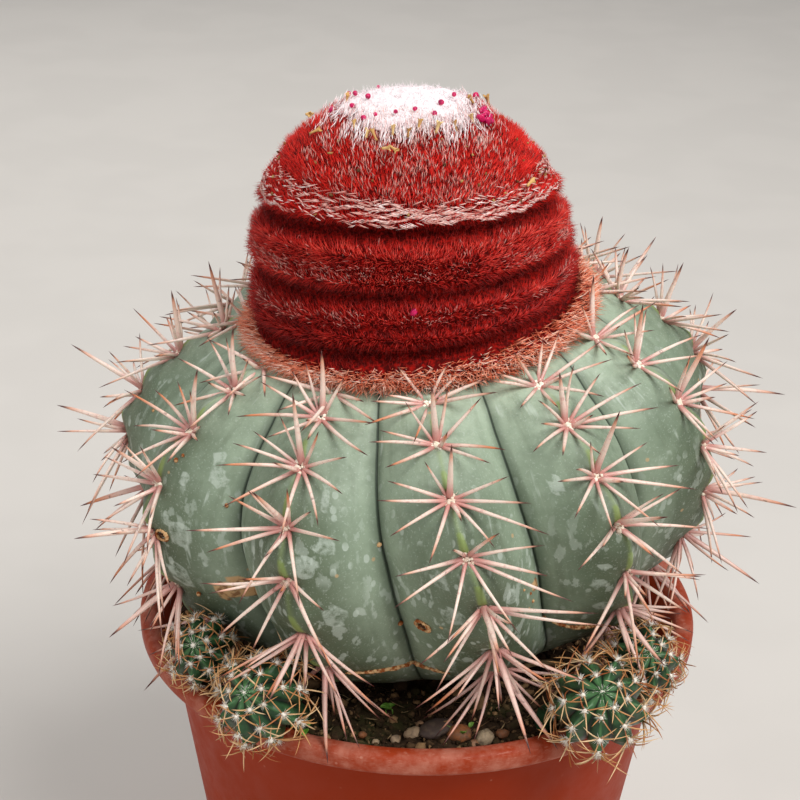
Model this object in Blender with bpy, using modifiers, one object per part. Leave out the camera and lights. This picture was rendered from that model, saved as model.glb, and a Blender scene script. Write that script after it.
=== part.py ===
"""Potted Melocactus concinnus: a ribbed, spiny globe with its red bristly cephalium, in a pot.

Units are metres, +Z is up, and the origin is the centre of the pot's underside. The plant's best
side faces -Y. Angles are in degrees. Azimuths run from the front (-Y) round to the right (+X).
"""

import math
import random

import bmesh
import bpy
from mathutils import Matrix, Vector

MM = 0.001
GAP = 0.35 * MM

# Pot: a turned shell with a wide turned-down rim and drain holes.
POT_HEIGHT = 112 * MM
RIM_RADIUS = 64.5 * MM
RIM_BAND = 4.7 * MM
RIM_LIP_RADIUS = 60.6 * MM
WALL = 1.5 * MM
WALL_TOP_RADIUS = 57.6 * MM
WALL_TOP = 105.5 * MM
BASE_RADIUS = 41.5 * MM
FLOOR = 2.0 * MM
POT_STEPS = 56
DRAIN_COUNT = 4
DRAIN_RADIUS = 4 * MM
DRAIN_RING = 27 * MM

# Soil
SOIL_LEVEL = 105.5 * MM
SOIL_STEPS = 36
SOIL_RINGS = (16, 26, 35, 43, 49, 53)
SOIL_EDGE = 104 * MM
SOIL_BUMP = 0.55 * MM
# Pebbles: x, y and radius in mm of those at the front, and the ranges of the others.
FRONT_PEBBLES = ((-0.6, -47.1, 2.3), (3.6, -46.6, 2.2), (8.3, -47.8, 2.6), (15.1, -47.6, 2.8))
OTHER_PEBBLES = 8
OTHER_PEBBLE_ARC = (60, 240)
OTHER_PEBBLE_RING = (34, 50)
OTHER_PEBBLE_RADIUS = (1.6, 2.6)
PEBBLE_SHAPE = (1.15, 0.9, 0.75)

# Body: an ellipsoid with two unlike halves, cut by ribs and leaning a little to the left front.
BODY_CENTRE = Vector((-1.0, 0.0, 156.0)) * MM
BODY_LEAN = (-5.5, -3.0)
BODY_RADIUS = 66.8 * MM
UPPER_HEIGHT = 34 * MM
LOWER_HEIGHT = 52 * MM
RIB_DEPTH = 0.17
# Shape of a rib across: exponents of a round crest and a sharp furrow.
RIB_CREST = 1.35
RIB_FURROW = 0.85
# How much shallower the furrows get, and over which latitudes: at the top and at the foot.
TOP_FADE = (0.6, 35, 60)
FOOT_FADE = (0.7, 20, 50)
# Swelling of the crest between areoles: height, share of the notch below it, share of the width.
CREST_HUMP = 1.7 * MM
HUMP_NOTCH = 0.45
HUMP_WIDTH = 0.6
# Sideways shift of the rings towards the top, in the body's own frame.
TOP_SHIFT = 2.2 * MM
FOOT_RADIUS = 24 * MM
FOOT_DEPTHS = (50.5 * MM, 57.5 * MM)
COLUMN_STEPS = (0.0, 0.1, 0.25, 0.4, 0.5, 0.6, 0.75, 0.9)
LEVEL_STEP = 0.5

# Latitudes of the areole levels, from the flat top (level -1) down to the foot (level 8).
LEVEL_ANGLES = (56, 53, 42, 27, 9, -8, -24, -38, -50, -60)
AREOLE_LEVELS = range(7)

# One row for each rib, round from the front one to the right: how many levels its areoles sit
# lower than the list above, and its azimuth at the top, the middle and the foot.
RIBS = (
    (0.0, 2.5, 10, 17),
    (0.25, 36.5, 38.5, 50),
    (0.1, 69, 69, 78),
    (-0.3, 102, 101, 108),
    (-0.2, 133, 132, 138),
    (-0.45, 164, 165, 169),
    (0.2, 195, 196, 201),
    (-0.1, 227, 230, 233),
    (-0.5, 263, 265, 268),
    (-0.35, 300.5, 302.5, 303),
    (-0.5, 332, 337, 338),
)
TOP_ANGLE = LEVEL_ANGLES[0]
RIB_FOOT_ANGLE = -45

# Spines of an areole: turn from straight up, rise off the skin, length in mm.
SPINE_RADIUS = 0.62 * MM
SPINE_ROOT = 1.6 * MM
AREOLE_RADIUS = 1.3 * MM
# Growth of the spines from the first areole down to the last, and how far the last ones hang.
SPINE_GROWTH = (0.86, 1.26)
SPINE_DROOP = 0.45
# Irregularity of the turn and the rise in degrees, and of the length as a share.
TURN_JITTER = 9
RISE_JITTER = 6
LENGTH_JITTER = 0.1
# Clearance of the spines, and the ways to reach it: shares of the length, then outward turns.
CLEARANCE = 0.5 * MM
PEBBLE_CLEARANCE = 3.2 * MM
SHORTENINGS = (1.0, 0.8, 0.62)
OUTWARD_TURNS = tuple(0.13 * step for step in range(7))
SPINE_LAYOUT = (
    (8, 66, 17.0),
    (38, 34, 13.5),
    (-42, 34, 13.0),
    (92, 24, 17.0),
    (-90, 24, 17.0),
    (146, 24, 18.0),
    (-150, 24, 18.5),
)

# Cephalium: height along its curved axis and radius, both in mm, from above the skirt up.
CEPHALIUM_PROFILE = (
    (4.2, 34.7), (6.6, 35.3), (10.6, 35.1), (14.3, 33.7), (17.5, 34.6), (22.3, 34.3),
    (25.3, 32.5), (27.1, 33.2), (30.4, 32.0), (34.2, 29.8), (38.1, 26.9), (41.5, 23.0),
    (45.2, 16.4),
)
CEPHALIUM_RIPPLE = 0.008
CEPHALIUM_BASE = Vector((1.2, 0.0, 28.8)) * MM
CEPHALIUM_STEPS = 40
# Tilt of its bands to the right and to the back, against the share of its height. The axis
# follows them to the back only.
CEPHALIUM_LEANS = (
    (0.0, -7.5, -3.0), (0.1, -7.5, -1.0), (0.3, -5.0, 3.0), (0.52, -3.0, 6.5), (1.0, 0.0, 8.0),
)
AXIS_LEAN = -0.8
AXIS_STEPS = 50
# Skirt under it, in the body's own frame: flat on the body, drooping at its edge.
SKIRT_CENTRE = Vector((2.6, 0.0, 28.8)) * MM
SEAT_RADIUS = 35.8 * MM
SKIRT_RADIUS = 38.6 * MM
SKIRT_DROP = 0.35 * MM
SKIRT_HEIGHT = 3.0 * MM
SKIRT_TILT = (-3.0, 0.0)

# Crown of white wool on the cephalium, with the tips of the fruits in it.
CROWN_PROFILE = ((45.55, 14.4), (46.3, 13.8), (47.4, 10.9), (48.3, 6.8))
CROWN_STEPS = 24
CROWN_HEIGHT = 48.8 * MM
CROWN_RAGGEDNESS = 0.06
FRUIT_RADIUS = 1.0 * MM
FRUIT_LENGTH = 1.5
# Fruits: azimuth and distance from the crown's axis in mm.
FRUIT_PLACES = (
    (-72, 12.3), (-50, 11.8), (-27, 12.1), (-6, 11.8), (14, 12.0), (34, 11.4), (55, 12.1),
    (148, 11.8), (214, 12.1),
)
# Height of the fruits: the crown's top less this share of the distance squared, in mm.
FRUIT_FALL = 0.0145

# Offsets at the pot's edge: centre (x, y, z) in mm, radius in mm, lean and azimuth of the axis.
OFFSETS = {
    "offset_left_upper": ((-45.9, -40.6, 121.6), 7.3, 50, -14),
    "offset_left_lower": ((-31.9, -58.7, 121.4), 9.2, 50, -29),
    "offset_right_front": ((37.3, -58.2, 121.5), 9.7, 39, -4),
    "offset_right_upper": ((47.6, -40.9, 120.9), 8.0, 42, 16),
}
OFFSET_RIBS = 9
OFFSET_FLATTENING = 0.93
OFFSET_RIB_DEPTH = 0.17
OFFSET_LATITUDES = (68, 42, 16, -10, -36, -62)
OFFSET_AREOLES = (52, 14, -26)
OFFSET_SPINE = 7.5 * MM
OFFSET_SPINE_RADIUS = 0.38 * MM
# Range of its length as a share, of its fall as a share of its rise, and its sideways share.
OFFSET_SPINE_SHARES = (0.8, 1.1)
OFFSET_SPINE_FALL = (-0.4, 0.75)
OFFSET_SPREAD = 0.85
STEM_RADIUS = 2.3 * MM
# Stem of an offset beyond its globe: distance from the pot's axis and height, in mm.
STEM_ROUTE = ((60.4, 116.4), (56.0, 113.2), (52.0, 109.3), (50.5, 101.6))
STEM_FOOT_RADIUS = 50.7 * MM
STEM_HOLE = (3.2 * MM, 101.2 * MM)
# Hole for the body's foot, in the body's own frame: radius and depth, in mm.
FOOT_HOLE = ((40.0, 38.0), (34.6, 44.4), (25.0, 50.2), (24.8, 58.2))


def lean(to_right, to_back):
    """Rotation that leans +Z to +X and to +Y by the given degrees."""
    right = Matrix.Rotation(math.radians(to_right), 3, 'Y')
    back = Matrix.Rotation(-math.radians(to_back), 3, 'X')
    return right @ back


BODY_TURN = lean(*BODY_LEAN)


def smooth(low, high, value):
    """Smooth step from 0 at low to 1 at high."""
    t = min(max((value - low) / (high - low), 0.0), 1.0)
    return t * t * (3.0 - 2.0 * t)


def along(values, position):
    """Value on a smooth curve through evenly spaced values, at a fractional index."""
    index = min(max(int(math.floor(position)), 0), len(values) - 2)
    t = position - index
    a, b = values[index], values[index + 1]
    before = values[index - 1] if index > 0 else 2 * a - b
    after = values[index + 2] if index + 2 < len(values) else 2 * b - a
    slope_a, slope_b = (b - before) / 2, (after - a) / 2
    return (a * (1 + 2 * t) * (1 - t) ** 2 + b * t * t * (3 - 2 * t)
            + slope_a * t * (1 - t) ** 2 - slope_b * t * t * (1 - t))


def polar(radius, azimuth, height):
    """Point at a radius and an azimuth in degrees (0 at -Y, 90 at +X)."""
    angle = math.radians(azimuth)
    return Vector((radius * math.sin(angle), -radius * math.cos(angle), height))


def new_material(name, colour, roughness):
    """Principled material with the given linear colour."""
    material = bpy.data.materials.new(name)
    material.use_nodes = True
    shader = material.node_tree.nodes["Principled BSDF"]
    shader.inputs["Base Color"].default_value = (*colour, 1.0)
    shader.inputs["Roughness"].default_value = roughness
    shader.inputs["Metallic"].default_value = 0.0
    return material


def add_object(name, mesh, collection):
    """Object with the mesh, in the collection."""
    item = bpy.data.objects.new(name, mesh)
    collection.objects.link(item)
    return item


def mesh_from(bm, name):
    """Mesh with outward faces, from a bmesh that is then freed."""
    bmesh.ops.recalc_face_normals(bm, faces=bm.faces)
    mesh = bpy.data.meshes.new(name)
    bm.to_mesh(mesh)
    bm.free()
    return mesh


def loft(rings, top, bottom):
    """Closed bmesh through rings of points, from the top down, with a fan on each end."""
    bm = bmesh.new()
    rows = [[bm.verts.new(point) for point in ring] for ring in rings]
    count = len(rows[0])
    for upper, lower in zip(rows, rows[1:]):
        for i in range(count):
            j = (i + 1) % count
            bm.faces.new((upper[i], lower[i], lower[j], upper[j]))
    for row, point in ((rows[0], top), (rows[-1], bottom)):
        centre = bm.verts.new(point)
        for i in range(count):
            bm.faces.new((row[i], row[(i + 1) % count], centre))
    return bm


def evaluated_mesh(item):
    """Mesh of the object with its modifiers applied."""
    depsgraph = bpy.context.evaluated_depsgraph_get()
    return bpy.data.meshes.new_from_object(item.evaluated_get(depsgraph))


def fuse(item, collection):
    """Join the collection's objects to the object by one union, and remove them."""
    union = item.modifiers.new("Union", 'BOOLEAN')
    union.operation = 'UNION'
    union.operand_type = 'COLLECTION'
    union.collection = collection
    union.solver = 'EXACT'
    joined = evaluated_mesh(item)
    item.modifiers.clear()
    item.data = joined
    for piece in list(collection.objects):
        bpy.data.objects.remove(piece)
    bpy.data.collections.remove(collection)


def repeats_collection(name):
    """Collection for the pieces that are fused into one object."""
    collection = bpy.data.collections.new(name)
    bpy.context.scene.collection.children.link(collection)
    return collection


def finish(item, material, sharp_angle=40):
    """Give the object its material and smooth shading with sharp edges."""
    item.data.materials.clear()
    item.data.materials.append(material)
    item.data.shade_smooth()
    item.data.set_sharp_from_angle(angle=math.radians(sharp_angle))


def level_angle(level):
    """Latitude of the body at an areole level, which may be fractional."""
    return along(LEVEL_ANGLES, level + 1)


def rib_azimuth(rib, angle):
    """Azimuth of a rib's crest at a latitude, on a parabola through its three values."""
    turns = rib // len(RIBS)
    top, middle, foot = RIBS[rib % len(RIBS)][1:]
    u = max(angle, RIB_FOOT_ANGLE)
    value = (top * u * (u - RIB_FOOT_ANGLE) / (TOP_ANGLE * (TOP_ANGLE - RIB_FOOT_ANGLE))
             + middle * (u - TOP_ANGLE) * (u - RIB_FOOT_ANGLE) / (TOP_ANGLE * RIB_FOOT_ANGLE)
             + foot * u * (u - TOP_ANGLE) / (RIB_FOOT_ANGLE * (RIB_FOOT_ANGLE - TOP_ANGLE)))
    return value + 360 * turns


def skin_angles(rib, share, level):
    """Latitude and azimuth of the skin, and how far the areoles' pattern holds there (0 to 1).

    share runs from 0 on the rib's crest to 1 on the next one, and level counts areoles.
    """
    here, after = RIBS[rib % len(RIBS)][0], RIBS[(rib + 1) % len(RIBS)][0]
    inner = smooth(-1, 0, level) * (1 - smooth(6.5, 8, level))
    angle = level_angle(level + (here + (after - here) * smooth(0, 1, share)) * inner)
    azimuth = rib_azimuth(rib, angle) * (1 - share) + rib_azimuth(rib + 1, angle) * share
    return angle, azimuth, inner


def body_point(rib, share, level):
    """Point of the skin in the body's own frame."""
    angle, azimuth, inner = skin_angles(rib, share, level)
    height = UPPER_HEIGHT if angle > 0 else LOWER_HEIGHT
    off_crest = 2 * min(share, 1 - share)
    crest = (1 - off_crest ** RIB_CREST) ** RIB_FURROW
    top_share, *top_span = TOP_FADE
    foot_share, *foot_span = FOOT_FADE
    depth = RIB_DEPTH * (1 - top_share * smooth(*top_span, angle))
    depth *= 1 - foot_share * smooth(*foot_span, -angle)
    scale = 1 - depth * (1 - crest)
    swelling = math.sin(math.pi * level) ** 2 - HUMP_NOTCH
    hump = CREST_HUMP * swelling * max(0.0, 1 - off_crest / HUMP_WIDTH) ** 2
    u = math.radians(angle)
    point = polar(BODY_RADIUS * math.cos(u) * scale, azimuth, height * math.sin(u))
    point *= 1 + hump * inner / point.length
    point.x += TOP_SHIFT * smooth(0, TOP_ANGLE, angle)
    return point


def to_world(point):
    """Point of the body's own frame in the world."""
    return BODY_CENTRE + BODY_TURN @ point


def areole_frame(rib, level):
    """World point of an areole and its outward, upward and sideways directions."""
    point = body_point(rib, 0, level)
    upward = (body_point(rib, 0, level - 1) - body_point(rib, 0, level + 1)).normalized()
    azimuth = math.radians(skin_angles(rib, 0, level)[1])
    sideways = Vector((math.cos(azimuth), math.sin(azimuth), 0.0))
    outward = sideways.cross(upward).normalized()
    return to_world(point), BODY_TURN @ outward, BODY_TURN @ upward, BODY_TURN @ sideways


def cephalium_lean(share):
    """Tilt of the cephalium's bands to the right and to the back, at a share of its height."""
    for (s0, right0, back0), (s1, right1, back1) in zip(CEPHALIUM_LEANS, CEPHALIUM_LEANS[1:]):
        if share <= s1:
            t = (share - s0) / (s1 - s0)
            return right0 + (right1 - right0) * t, back0 + (back1 - back0) * t
    return CEPHALIUM_LEANS[-1][1:]


def cephalium_axis():
    """Points along the cephalium's curved axis, evenly spaced from its base to the crown's top."""
    points = [to_world(CEPHALIUM_BASE)]
    step = CROWN_HEIGHT / AXIS_STEPS
    for i in range(AXIS_STEPS):
        to_back = cephalium_lean((i + 0.5) / AXIS_STEPS)[1]
        points.append(points[-1] + lean(AXIS_LEAN, to_back) @ Vector((0, 0, step)))
    return points


AXIS = cephalium_axis()


def cephalium_point(height, radius, azimuth):
    """World point at a height along the cephalium's axis and a radius round it."""
    position = height / CROWN_HEIGHT * AXIS_STEPS
    index = min(int(position), AXIS_STEPS - 1)
    centre = AXIS[index].lerp(AXIS[index + 1], position - index)
    return centre + lean(*cephalium_lean(height / CROWN_HEIGHT)) @ polar(radius, azimuth, 0)


def segment_distance(a0, a1, b0, b1, steps=10):
    """Least distance between two segments, found by sampling the first one."""
    direction = b1 - b0
    length2 = direction.length_squared
    least = math.inf
    for i in range(steps + 1):
        point = a0.lerp(a1, i / steps)
        t = min(max((point - b0).dot(direction) / length2, 0.0), 1.0)
        least = min(least, (point - b0 - direction * t).length)
    return least


def clear_of_pot(point, margin):
    """Whether a point stays off the rim and the soil."""
    radius = math.hypot(point.x, point.y)
    if radius < WALL_TOP_RADIUS:
        return point.z > SOIL_LEVEL + PEBBLE_CLEARANCE + margin
    return radius > RIM_RADIUS + margin or point.z > POT_HEIGHT + margin


def clear_of_cephalium(point, margin):
    """Whether a point stays outside the cephalium's skirt and column."""
    local = BODY_TURN.transposed() @ (point - BODY_CENTRE) - SKIRT_CENTRE
    if local.z < -SKIRT_DROP - margin:
        return True
    nearest = min((centre - point).length for centre in AXIS)
    return min(nearest, math.hypot(local.x, local.y)) > SKIRT_RADIUS + margin


def clear_of_offsets(root, tip, margin):
    """Whether a spine stays off the offsets' globes and stems."""
    for centre, radius, _, _ in OFFSETS.values():
        middle = Vector(centre) * MM
        if segment_distance(root, tip, middle, middle + Vector((0, 0, MM))) < radius * MM + margin + MM:
            return False
        route = stem_route(centre)
        for start, end in zip(route, route[1:]):
            if segment_distance(root, tip, start, end) < STEM_RADIUS + margin:
                return False
    return True


def spine_is_clear(root, tip):
    """Whether a spine of the body stays off every other piece."""
    margin = SPINE_RADIUS + CLEARANCE
    for i in range(1, 13):
        point = root.lerp(tip, i / 12)
        if not (clear_of_pot(point, margin) and clear_of_cephalium(point, margin)):
            return False
    return clear_of_offsets(root, tip, margin)


def bent_clear(root, direction, length, outward):
    """Tip of a spine, turned outward and then shortened until it is clear, or None."""
    for shortening in SHORTENINGS:
        for turn in OUTWARD_TURNS:
            turned = direction.lerp(outward, turn).normalized()
            tip = root + turned * length * shortening
            if spine_is_clear(root, tip):
                return tip
    return None


def add_spine(root, tip, radius, collection):
    """Three-sided needle from the root to the tip."""
    bm = bmesh.new()
    length = (tip - root).length
    bmesh.ops.create_cone(bm, segments=3, cap_ends=True, radius1=radius, radius2=0, depth=length)
    turn = (tip - root).to_track_quat('Z', 'Y').to_matrix().to_4x4()
    bmesh.ops.transform(bm, matrix=Matrix.Translation((root + tip) / 2) @ turn, verts=bm.verts)
    return add_object("spine", mesh_from(bm, "spine"), collection)


def body_spines():
    """Root and tip of every spine of the body, in the world."""
    rng = random.Random(5)
    spines = []
    for rib in range(len(RIBS)):
        for level in AREOLE_LEVELS:
            place, outward, upward, sideways = areole_frame(rib, level)
            lowness = level / AREOLE_LEVELS[-1]
            growth = SPINE_GROWTH[0] + (SPINE_GROWTH[1] - SPINE_GROWTH[0]) * lowness
            for turn, rise, length in SPINE_LAYOUT:
                turn_angle = math.radians(turn + rng.uniform(-TURN_JITTER, TURN_JITTER))
                rise_angle = math.radians(rise + rng.uniform(-RISE_JITTER, RISE_JITTER))
                flat = upward * math.cos(turn_angle) + sideways * math.sin(turn_angle)
                direction = flat * math.cos(rise_angle) + outward * math.sin(rise_angle)
                direction = (direction - upward * SPINE_DROOP * lowness ** 2).normalized()
                size = length * MM * growth * (1 + rng.uniform(-LENGTH_JITTER, LENGTH_JITTER))
                root = place + flat * AREOLE_RADIUS - outward * SPINE_ROOT
                away = (outward + sideways * sideways.dot(direction)).normalized()
                tip = bent_clear(root, direction, size + SPINE_ROOT, away)
                if tip is not None:
                    spines.append((root, tip))
    return spines


def make_body(parts, spines):
    """Ribbed globe with its spines."""
    rings = []
    rows = int((len(LEVEL_ANGLES) - 1) / LEVEL_STEP) + 1
    for row in range(rows):
        level = -1 + row * LEVEL_STEP
        ring = []
        for rib in range(len(RIBS)):
            ring += [to_world(body_point(rib, share, level)) for share in COLUMN_STEPS]
        rings.append(ring)
    azimuths = [skin_angles(rib, share, level)[1] for rib in range(len(RIBS)) for share in COLUMN_STEPS]
    for depth in FOOT_DEPTHS:
        rings.append([to_world(polar(FOOT_RADIUS, azimuth, -depth)) for azimuth in azimuths])
    top = to_world(Vector((TOP_SHIFT, 0, body_point(0, 0, -1).z)))
    bottom = to_world(Vector((0, 0, -FOOT_DEPTHS[-1])))
    body = add_object("cactus_body", mesh_from(loft(rings, top, bottom), "cactus_body"), parts)
    needles = repeats_collection("spines")
    for root, tip in spines:
        add_spine(root, tip, SPINE_RADIUS, needles)
    fuse(body, needles)
    finish(body, new_material("glaucous_skin", (0.21, 0.31, 0.20), 0.6))
    return body


def make_cephalium(parts):
    """Stack of bristly bands on a curved axis, with a flared skirt at the foot."""
    azimuths = [360 * i / CEPHALIUM_STEPS for i in range(CEPHALIUM_STEPS)]
    upper_edge = Vector((0, 0, SKIRT_HEIGHT))
    tilt = lean(*SKIRT_TILT)
    rings = [
        [to_world(SKIRT_CENTRE + polar(SEAT_RADIUS, azimuth, 0)) for azimuth in azimuths],
        [to_world(SKIRT_CENTRE + polar(SKIRT_RADIUS, azimuth, -SKIRT_DROP)) for azimuth in azimuths],
        [to_world(SKIRT_CENTRE + upper_edge + tilt @ polar(SKIRT_RADIUS, azimuth, 0))
         for azimuth in azimuths],
    ]
    for height, radius in CEPHALIUM_PROFILE:
        ring = []
        for azimuth in azimuths:
            ripple = 1 + CEPHALIUM_RIPPLE * math.sin(math.radians(3 * azimuth) + height)
            ring.append(cephalium_point(height * MM, radius * ripple * MM, azimuth))
        rings.append(ring)
    rings.reverse()
    top = cephalium_point(CEPHALIUM_PROFILE[-1][0] * MM, 0, 0)
    item = add_object("cephalium", mesh_from(loft(rings, top, to_world(SKIRT_CENTRE)), "cephalium"), parts)
    finish(item, new_material("red_bristles", (0.22, 0.016, 0.012), 0.75))
    return item


def make_crown(parts):
    """Cap of white wool on the cephalium, with the fruits' tips fused in."""
    azimuths = [360 * i / CROWN_STEPS for i in range(CROWN_STEPS)]
    rings = []
    for height, radius in reversed(CROWN_PROFILE):
        ring = []
        for azimuth in azimuths:
            ragged = 1 - CROWN_RAGGEDNESS * math.cos(math.radians(5 * azimuth))
            ring.append(cephalium_point(height * MM, radius * ragged * MM, azimuth))
        rings.append(ring)
    top = cephalium_point(CROWN_HEIGHT, 0, 0)
    bottom = cephalium_point(CROWN_PROFILE[0][0] * MM, 0, 0)
    item = add_object("crown_wool", mesh_from(loft(rings, top, bottom), "crown_wool"), parts)
    fruits = repeats_collection("fruits")
    for azimuth, radius in FRUIT_PLACES:
        height = CROWN_HEIGHT - FRUIT_FALL * radius ** 2 * MM
        bm = bmesh.new()
        bmesh.ops.create_icosphere(bm, subdivisions=1, radius=FRUIT_RADIUS)
        bmesh.ops.scale(bm, vec=(1, 1, FRUIT_LENGTH), verts=bm.verts)
        centre = cephalium_point(height, radius * MM, azimuth)
        bmesh.ops.translate(bm, vec=centre, verts=bm.verts)
        add_object("fruit", mesh_from(bm, "fruit"), fruits)
    fuse(item, fruits)
    finish(item, new_material("white_wool", (0.85, 0.80, 0.80), 0.9))
    return item


def pot_profile():
    """Half section of the pot, from its axis on the floor's upper face round to the underside."""
    band_foot = POT_HEIGHT - RIM_BAND
    under_lip = POT_HEIGHT - 1.1 * WALL
    return (
        (0, FLOOR),
        (BASE_RADIUS - WALL - FLOOR, FLOOR),
        (BASE_RADIUS - WALL, 2 * FLOOR),
        (WALL_TOP_RADIUS - WALL, WALL_TOP),
        (RIM_LIP_RADIUS - 0.5 * WALL, POT_HEIGHT - 0.7 * WALL),
        (RIM_LIP_RADIUS + 0.3 * WALL, POT_HEIGHT),
        (RIM_RADIUS - WALL, POT_HEIGHT),
        (RIM_RADIUS - 0.3 * WALL, POT_HEIGHT - 0.4 * WALL),
        (RIM_RADIUS, POT_HEIGHT - 1.2 * WALL),
        (RIM_RADIUS, band_foot + 0.3 * WALL),
        (RIM_RADIUS - 0.5 * WALL, band_foot),
        (RIM_RADIUS - WALL, band_foot + 0.3 * WALL),
        (RIM_RADIUS - WALL, under_lip),
        (RIM_LIP_RADIUS + 0.4 * WALL, under_lip),
        (WALL_TOP_RADIUS, WALL_TOP - 0.5 * WALL),
        (BASE_RADIUS, FLOOR),
        (BASE_RADIUS - WALL, 0),
        (0, 0),
    )


def make_pot(parts, cutters):
    """Turned pot with drain holes in its floor."""
    bm = bmesh.new()
    verts = [bm.verts.new((x, 0, z)) for x, z in pot_profile()]
    for a, b in zip(verts, verts[1:]):
        bm.edges.new((a, b))
    mesh = bpy.data.meshes.new("pot")
    bm.to_mesh(mesh)
    bm.free()
    pot = add_object("pot", mesh, parts)
    screw = pot.modifiers.new("Turn", 'SCREW')
    screw.steps = POT_STEPS
    screw.render_steps = POT_STEPS
    screw.use_merge_vertices = True
    screw.merge_threshold = 0.00001
    drains = bpy.data.collections.new("drains")
    cutters.children.link(drains)
    for i in range(DRAIN_COUNT):
        bm = bmesh.new()
        bmesh.ops.create_cone(bm, segments=12, cap_ends=True, radius1=DRAIN_RADIUS, radius2=DRAIN_RADIUS,
                              depth=4 * FLOOR)
        bmesh.ops.translate(bm, vec=polar(DRAIN_RING, 45 + 360 * i / DRAIN_COUNT, 0), verts=bm.verts)
        cutter = add_object(f"drain_cutter_{i + 1}", mesh_from(bm, "drain_cutter"), drains)
        cutter.hide_render = True
        cutter.display_type = 'WIRE'
    cut = pot.modifiers.new("Drains", 'BOOLEAN')
    cut.operation = 'DIFFERENCE'
    cut.operand_type = 'COLLECTION'
    cut.collection = drains
    cut.solver = 'EXACT'
    finish(pot, new_material("terracotta_plastic", (0.29, 0.055, 0.028), 0.55), 50)
    return pot


def soil_height(point):
    """Height of the soil's uneven top at a point."""
    x, y = point.x / MM, point.y / MM
    bumps = math.sin(x * 0.31) * math.cos(y * 0.27) + 0.6 * math.sin(x * 0.13 - y * 0.41)
    return SOIL_LEVEL + SOIL_BUMP * bumps


def soil_edge_radius(height):
    """Radius of the pot's inside at a height, less the gap."""
    rise = (height - 2 * FLOOR) / (WALL_TOP - 2 * FLOOR)
    return BASE_RADIUS - WALL + (WALL_TOP_RADIUS - BASE_RADIUS) * rise - 2 * GAP


def add_pebbles(soil):
    """Fuse the pebbles into the soil's top."""
    rng = random.Random(3)
    places = list(FRONT_PEBBLES)
    start, arc = OTHER_PEBBLE_ARC
    for i in range(OTHER_PEBBLES):
        azimuth = start + arc * (i + 0.5) / OTHER_PEBBLES
        place = polar(rng.uniform(*OTHER_PEBBLE_RING), azimuth, 0)
        places.append((place.x, place.y, rng.uniform(*OTHER_PEBBLE_RADIUS)))
    pebbles = repeats_collection("pebbles")
    for x, y, size in places:
        bm = bmesh.new()
        bmesh.ops.create_icosphere(bm, subdivisions=1, radius=size * MM)
        bmesh.ops.scale(bm, vec=PEBBLE_SHAPE, verts=bm.verts)
        turn = Matrix.Rotation(rng.uniform(0, math.pi), 4, 'Z')
        centre = Vector((x * MM, y * MM, 0))
        centre.z = soil_height(centre)
        bmesh.ops.transform(bm, matrix=Matrix.Translation(centre) @ turn, verts=bm.verts)
        add_object("pebble", mesh_from(bm, "pebble"), pebbles)
    fuse(soil, pebbles)


def make_soil(parts, cutters):
    """Soil that fills the pot, with pebbles fused in and plain holes for the plants' feet."""
    azimuths = [360 * (i + 0.5) / SOIL_STEPS for i in range(SOIL_STEPS)]
    rings = []
    for radius in SOIL_RINGS:
        ring = [polar(radius * MM, azimuth, 0) for azimuth in azimuths]
        for point in ring:
            point.z = soil_height(point)
        rings.append(ring)
    floor = FLOOR + GAP
    for radius, height in ((soil_edge_radius(SOIL_EDGE), SOIL_EDGE),
                           (soil_edge_radius(2 * FLOOR), 2 * floor),
                           (BASE_RADIUS - WALL - FLOOR - 2 * GAP, floor)):
        rings.append([polar(radius, azimuth, height) for azimuth in azimuths])
    top = Vector((0, 0, SOIL_LEVEL))
    soil = add_object("soil", mesh_from(loft(rings, top, Vector((0, 0, floor))), "soil"), parts)
    add_pebbles(soil)
    holes = bpy.data.collections.new("soil_holes")
    cutters.children.link(holes)
    foot_rings = [[to_world(polar(r * MM, 15 * i, -d * MM)) for i in range(24)] for r, d in FOOT_HOLE]
    ends = [to_world(Vector((0, 0, -FOOT_HOLE[i][1] * MM))) for i in (0, -1)]
    add_object("foot_cutter", mesh_from(loft(foot_rings, *ends), "foot_cutter"), holes)
    for centre, _, _, _ in OFFSETS.values():
        radius, low_end = STEM_HOLE
        spot = polar(STEM_FOOT_RADIUS, math.degrees(math.atan2(centre[0], -centre[1])), low_end)
        bm = bmesh.new()
        bmesh.ops.create_cone(bm, segments=12, cap_ends=True, radius1=radius, radius2=radius, depth=12 * MM)
        bmesh.ops.translate(bm, vec=spot + Vector((0, 0, 6 * MM)), verts=bm.verts)
        add_object("stem_cutter", mesh_from(bm, "stem_cutter"), holes)
    for cutter in holes.objects:
        cutter.hide_render = True
        cutter.display_type = 'WIRE'
    cut = soil.modifiers.new("Holes", 'BOOLEAN')
    cut.operation = 'DIFFERENCE'
    cut.operand_type = 'COLLECTION'
    cut.collection = holes
    cut.solver = 'EXACT'
    finish(soil, new_material("potting_soil", (0.035, 0.022, 0.014), 0.95))
    return soil


def stem_route(centre):
    """Points of an offset's stem, from inside its globe down into the soil."""
    middle = Vector(centre) * MM
    azimuth = math.degrees(math.atan2(centre[0], -centre[1]))
    reach = math.hypot(centre[0], centre[1])
    first = (min(STEM_ROUTE[0][0], reach - 1.5), STEM_ROUTE[0][1])
    return [middle] + [polar(r * MM, azimuth, z * MM) for r, z in (first, *STEM_ROUTE[1:])]


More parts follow.
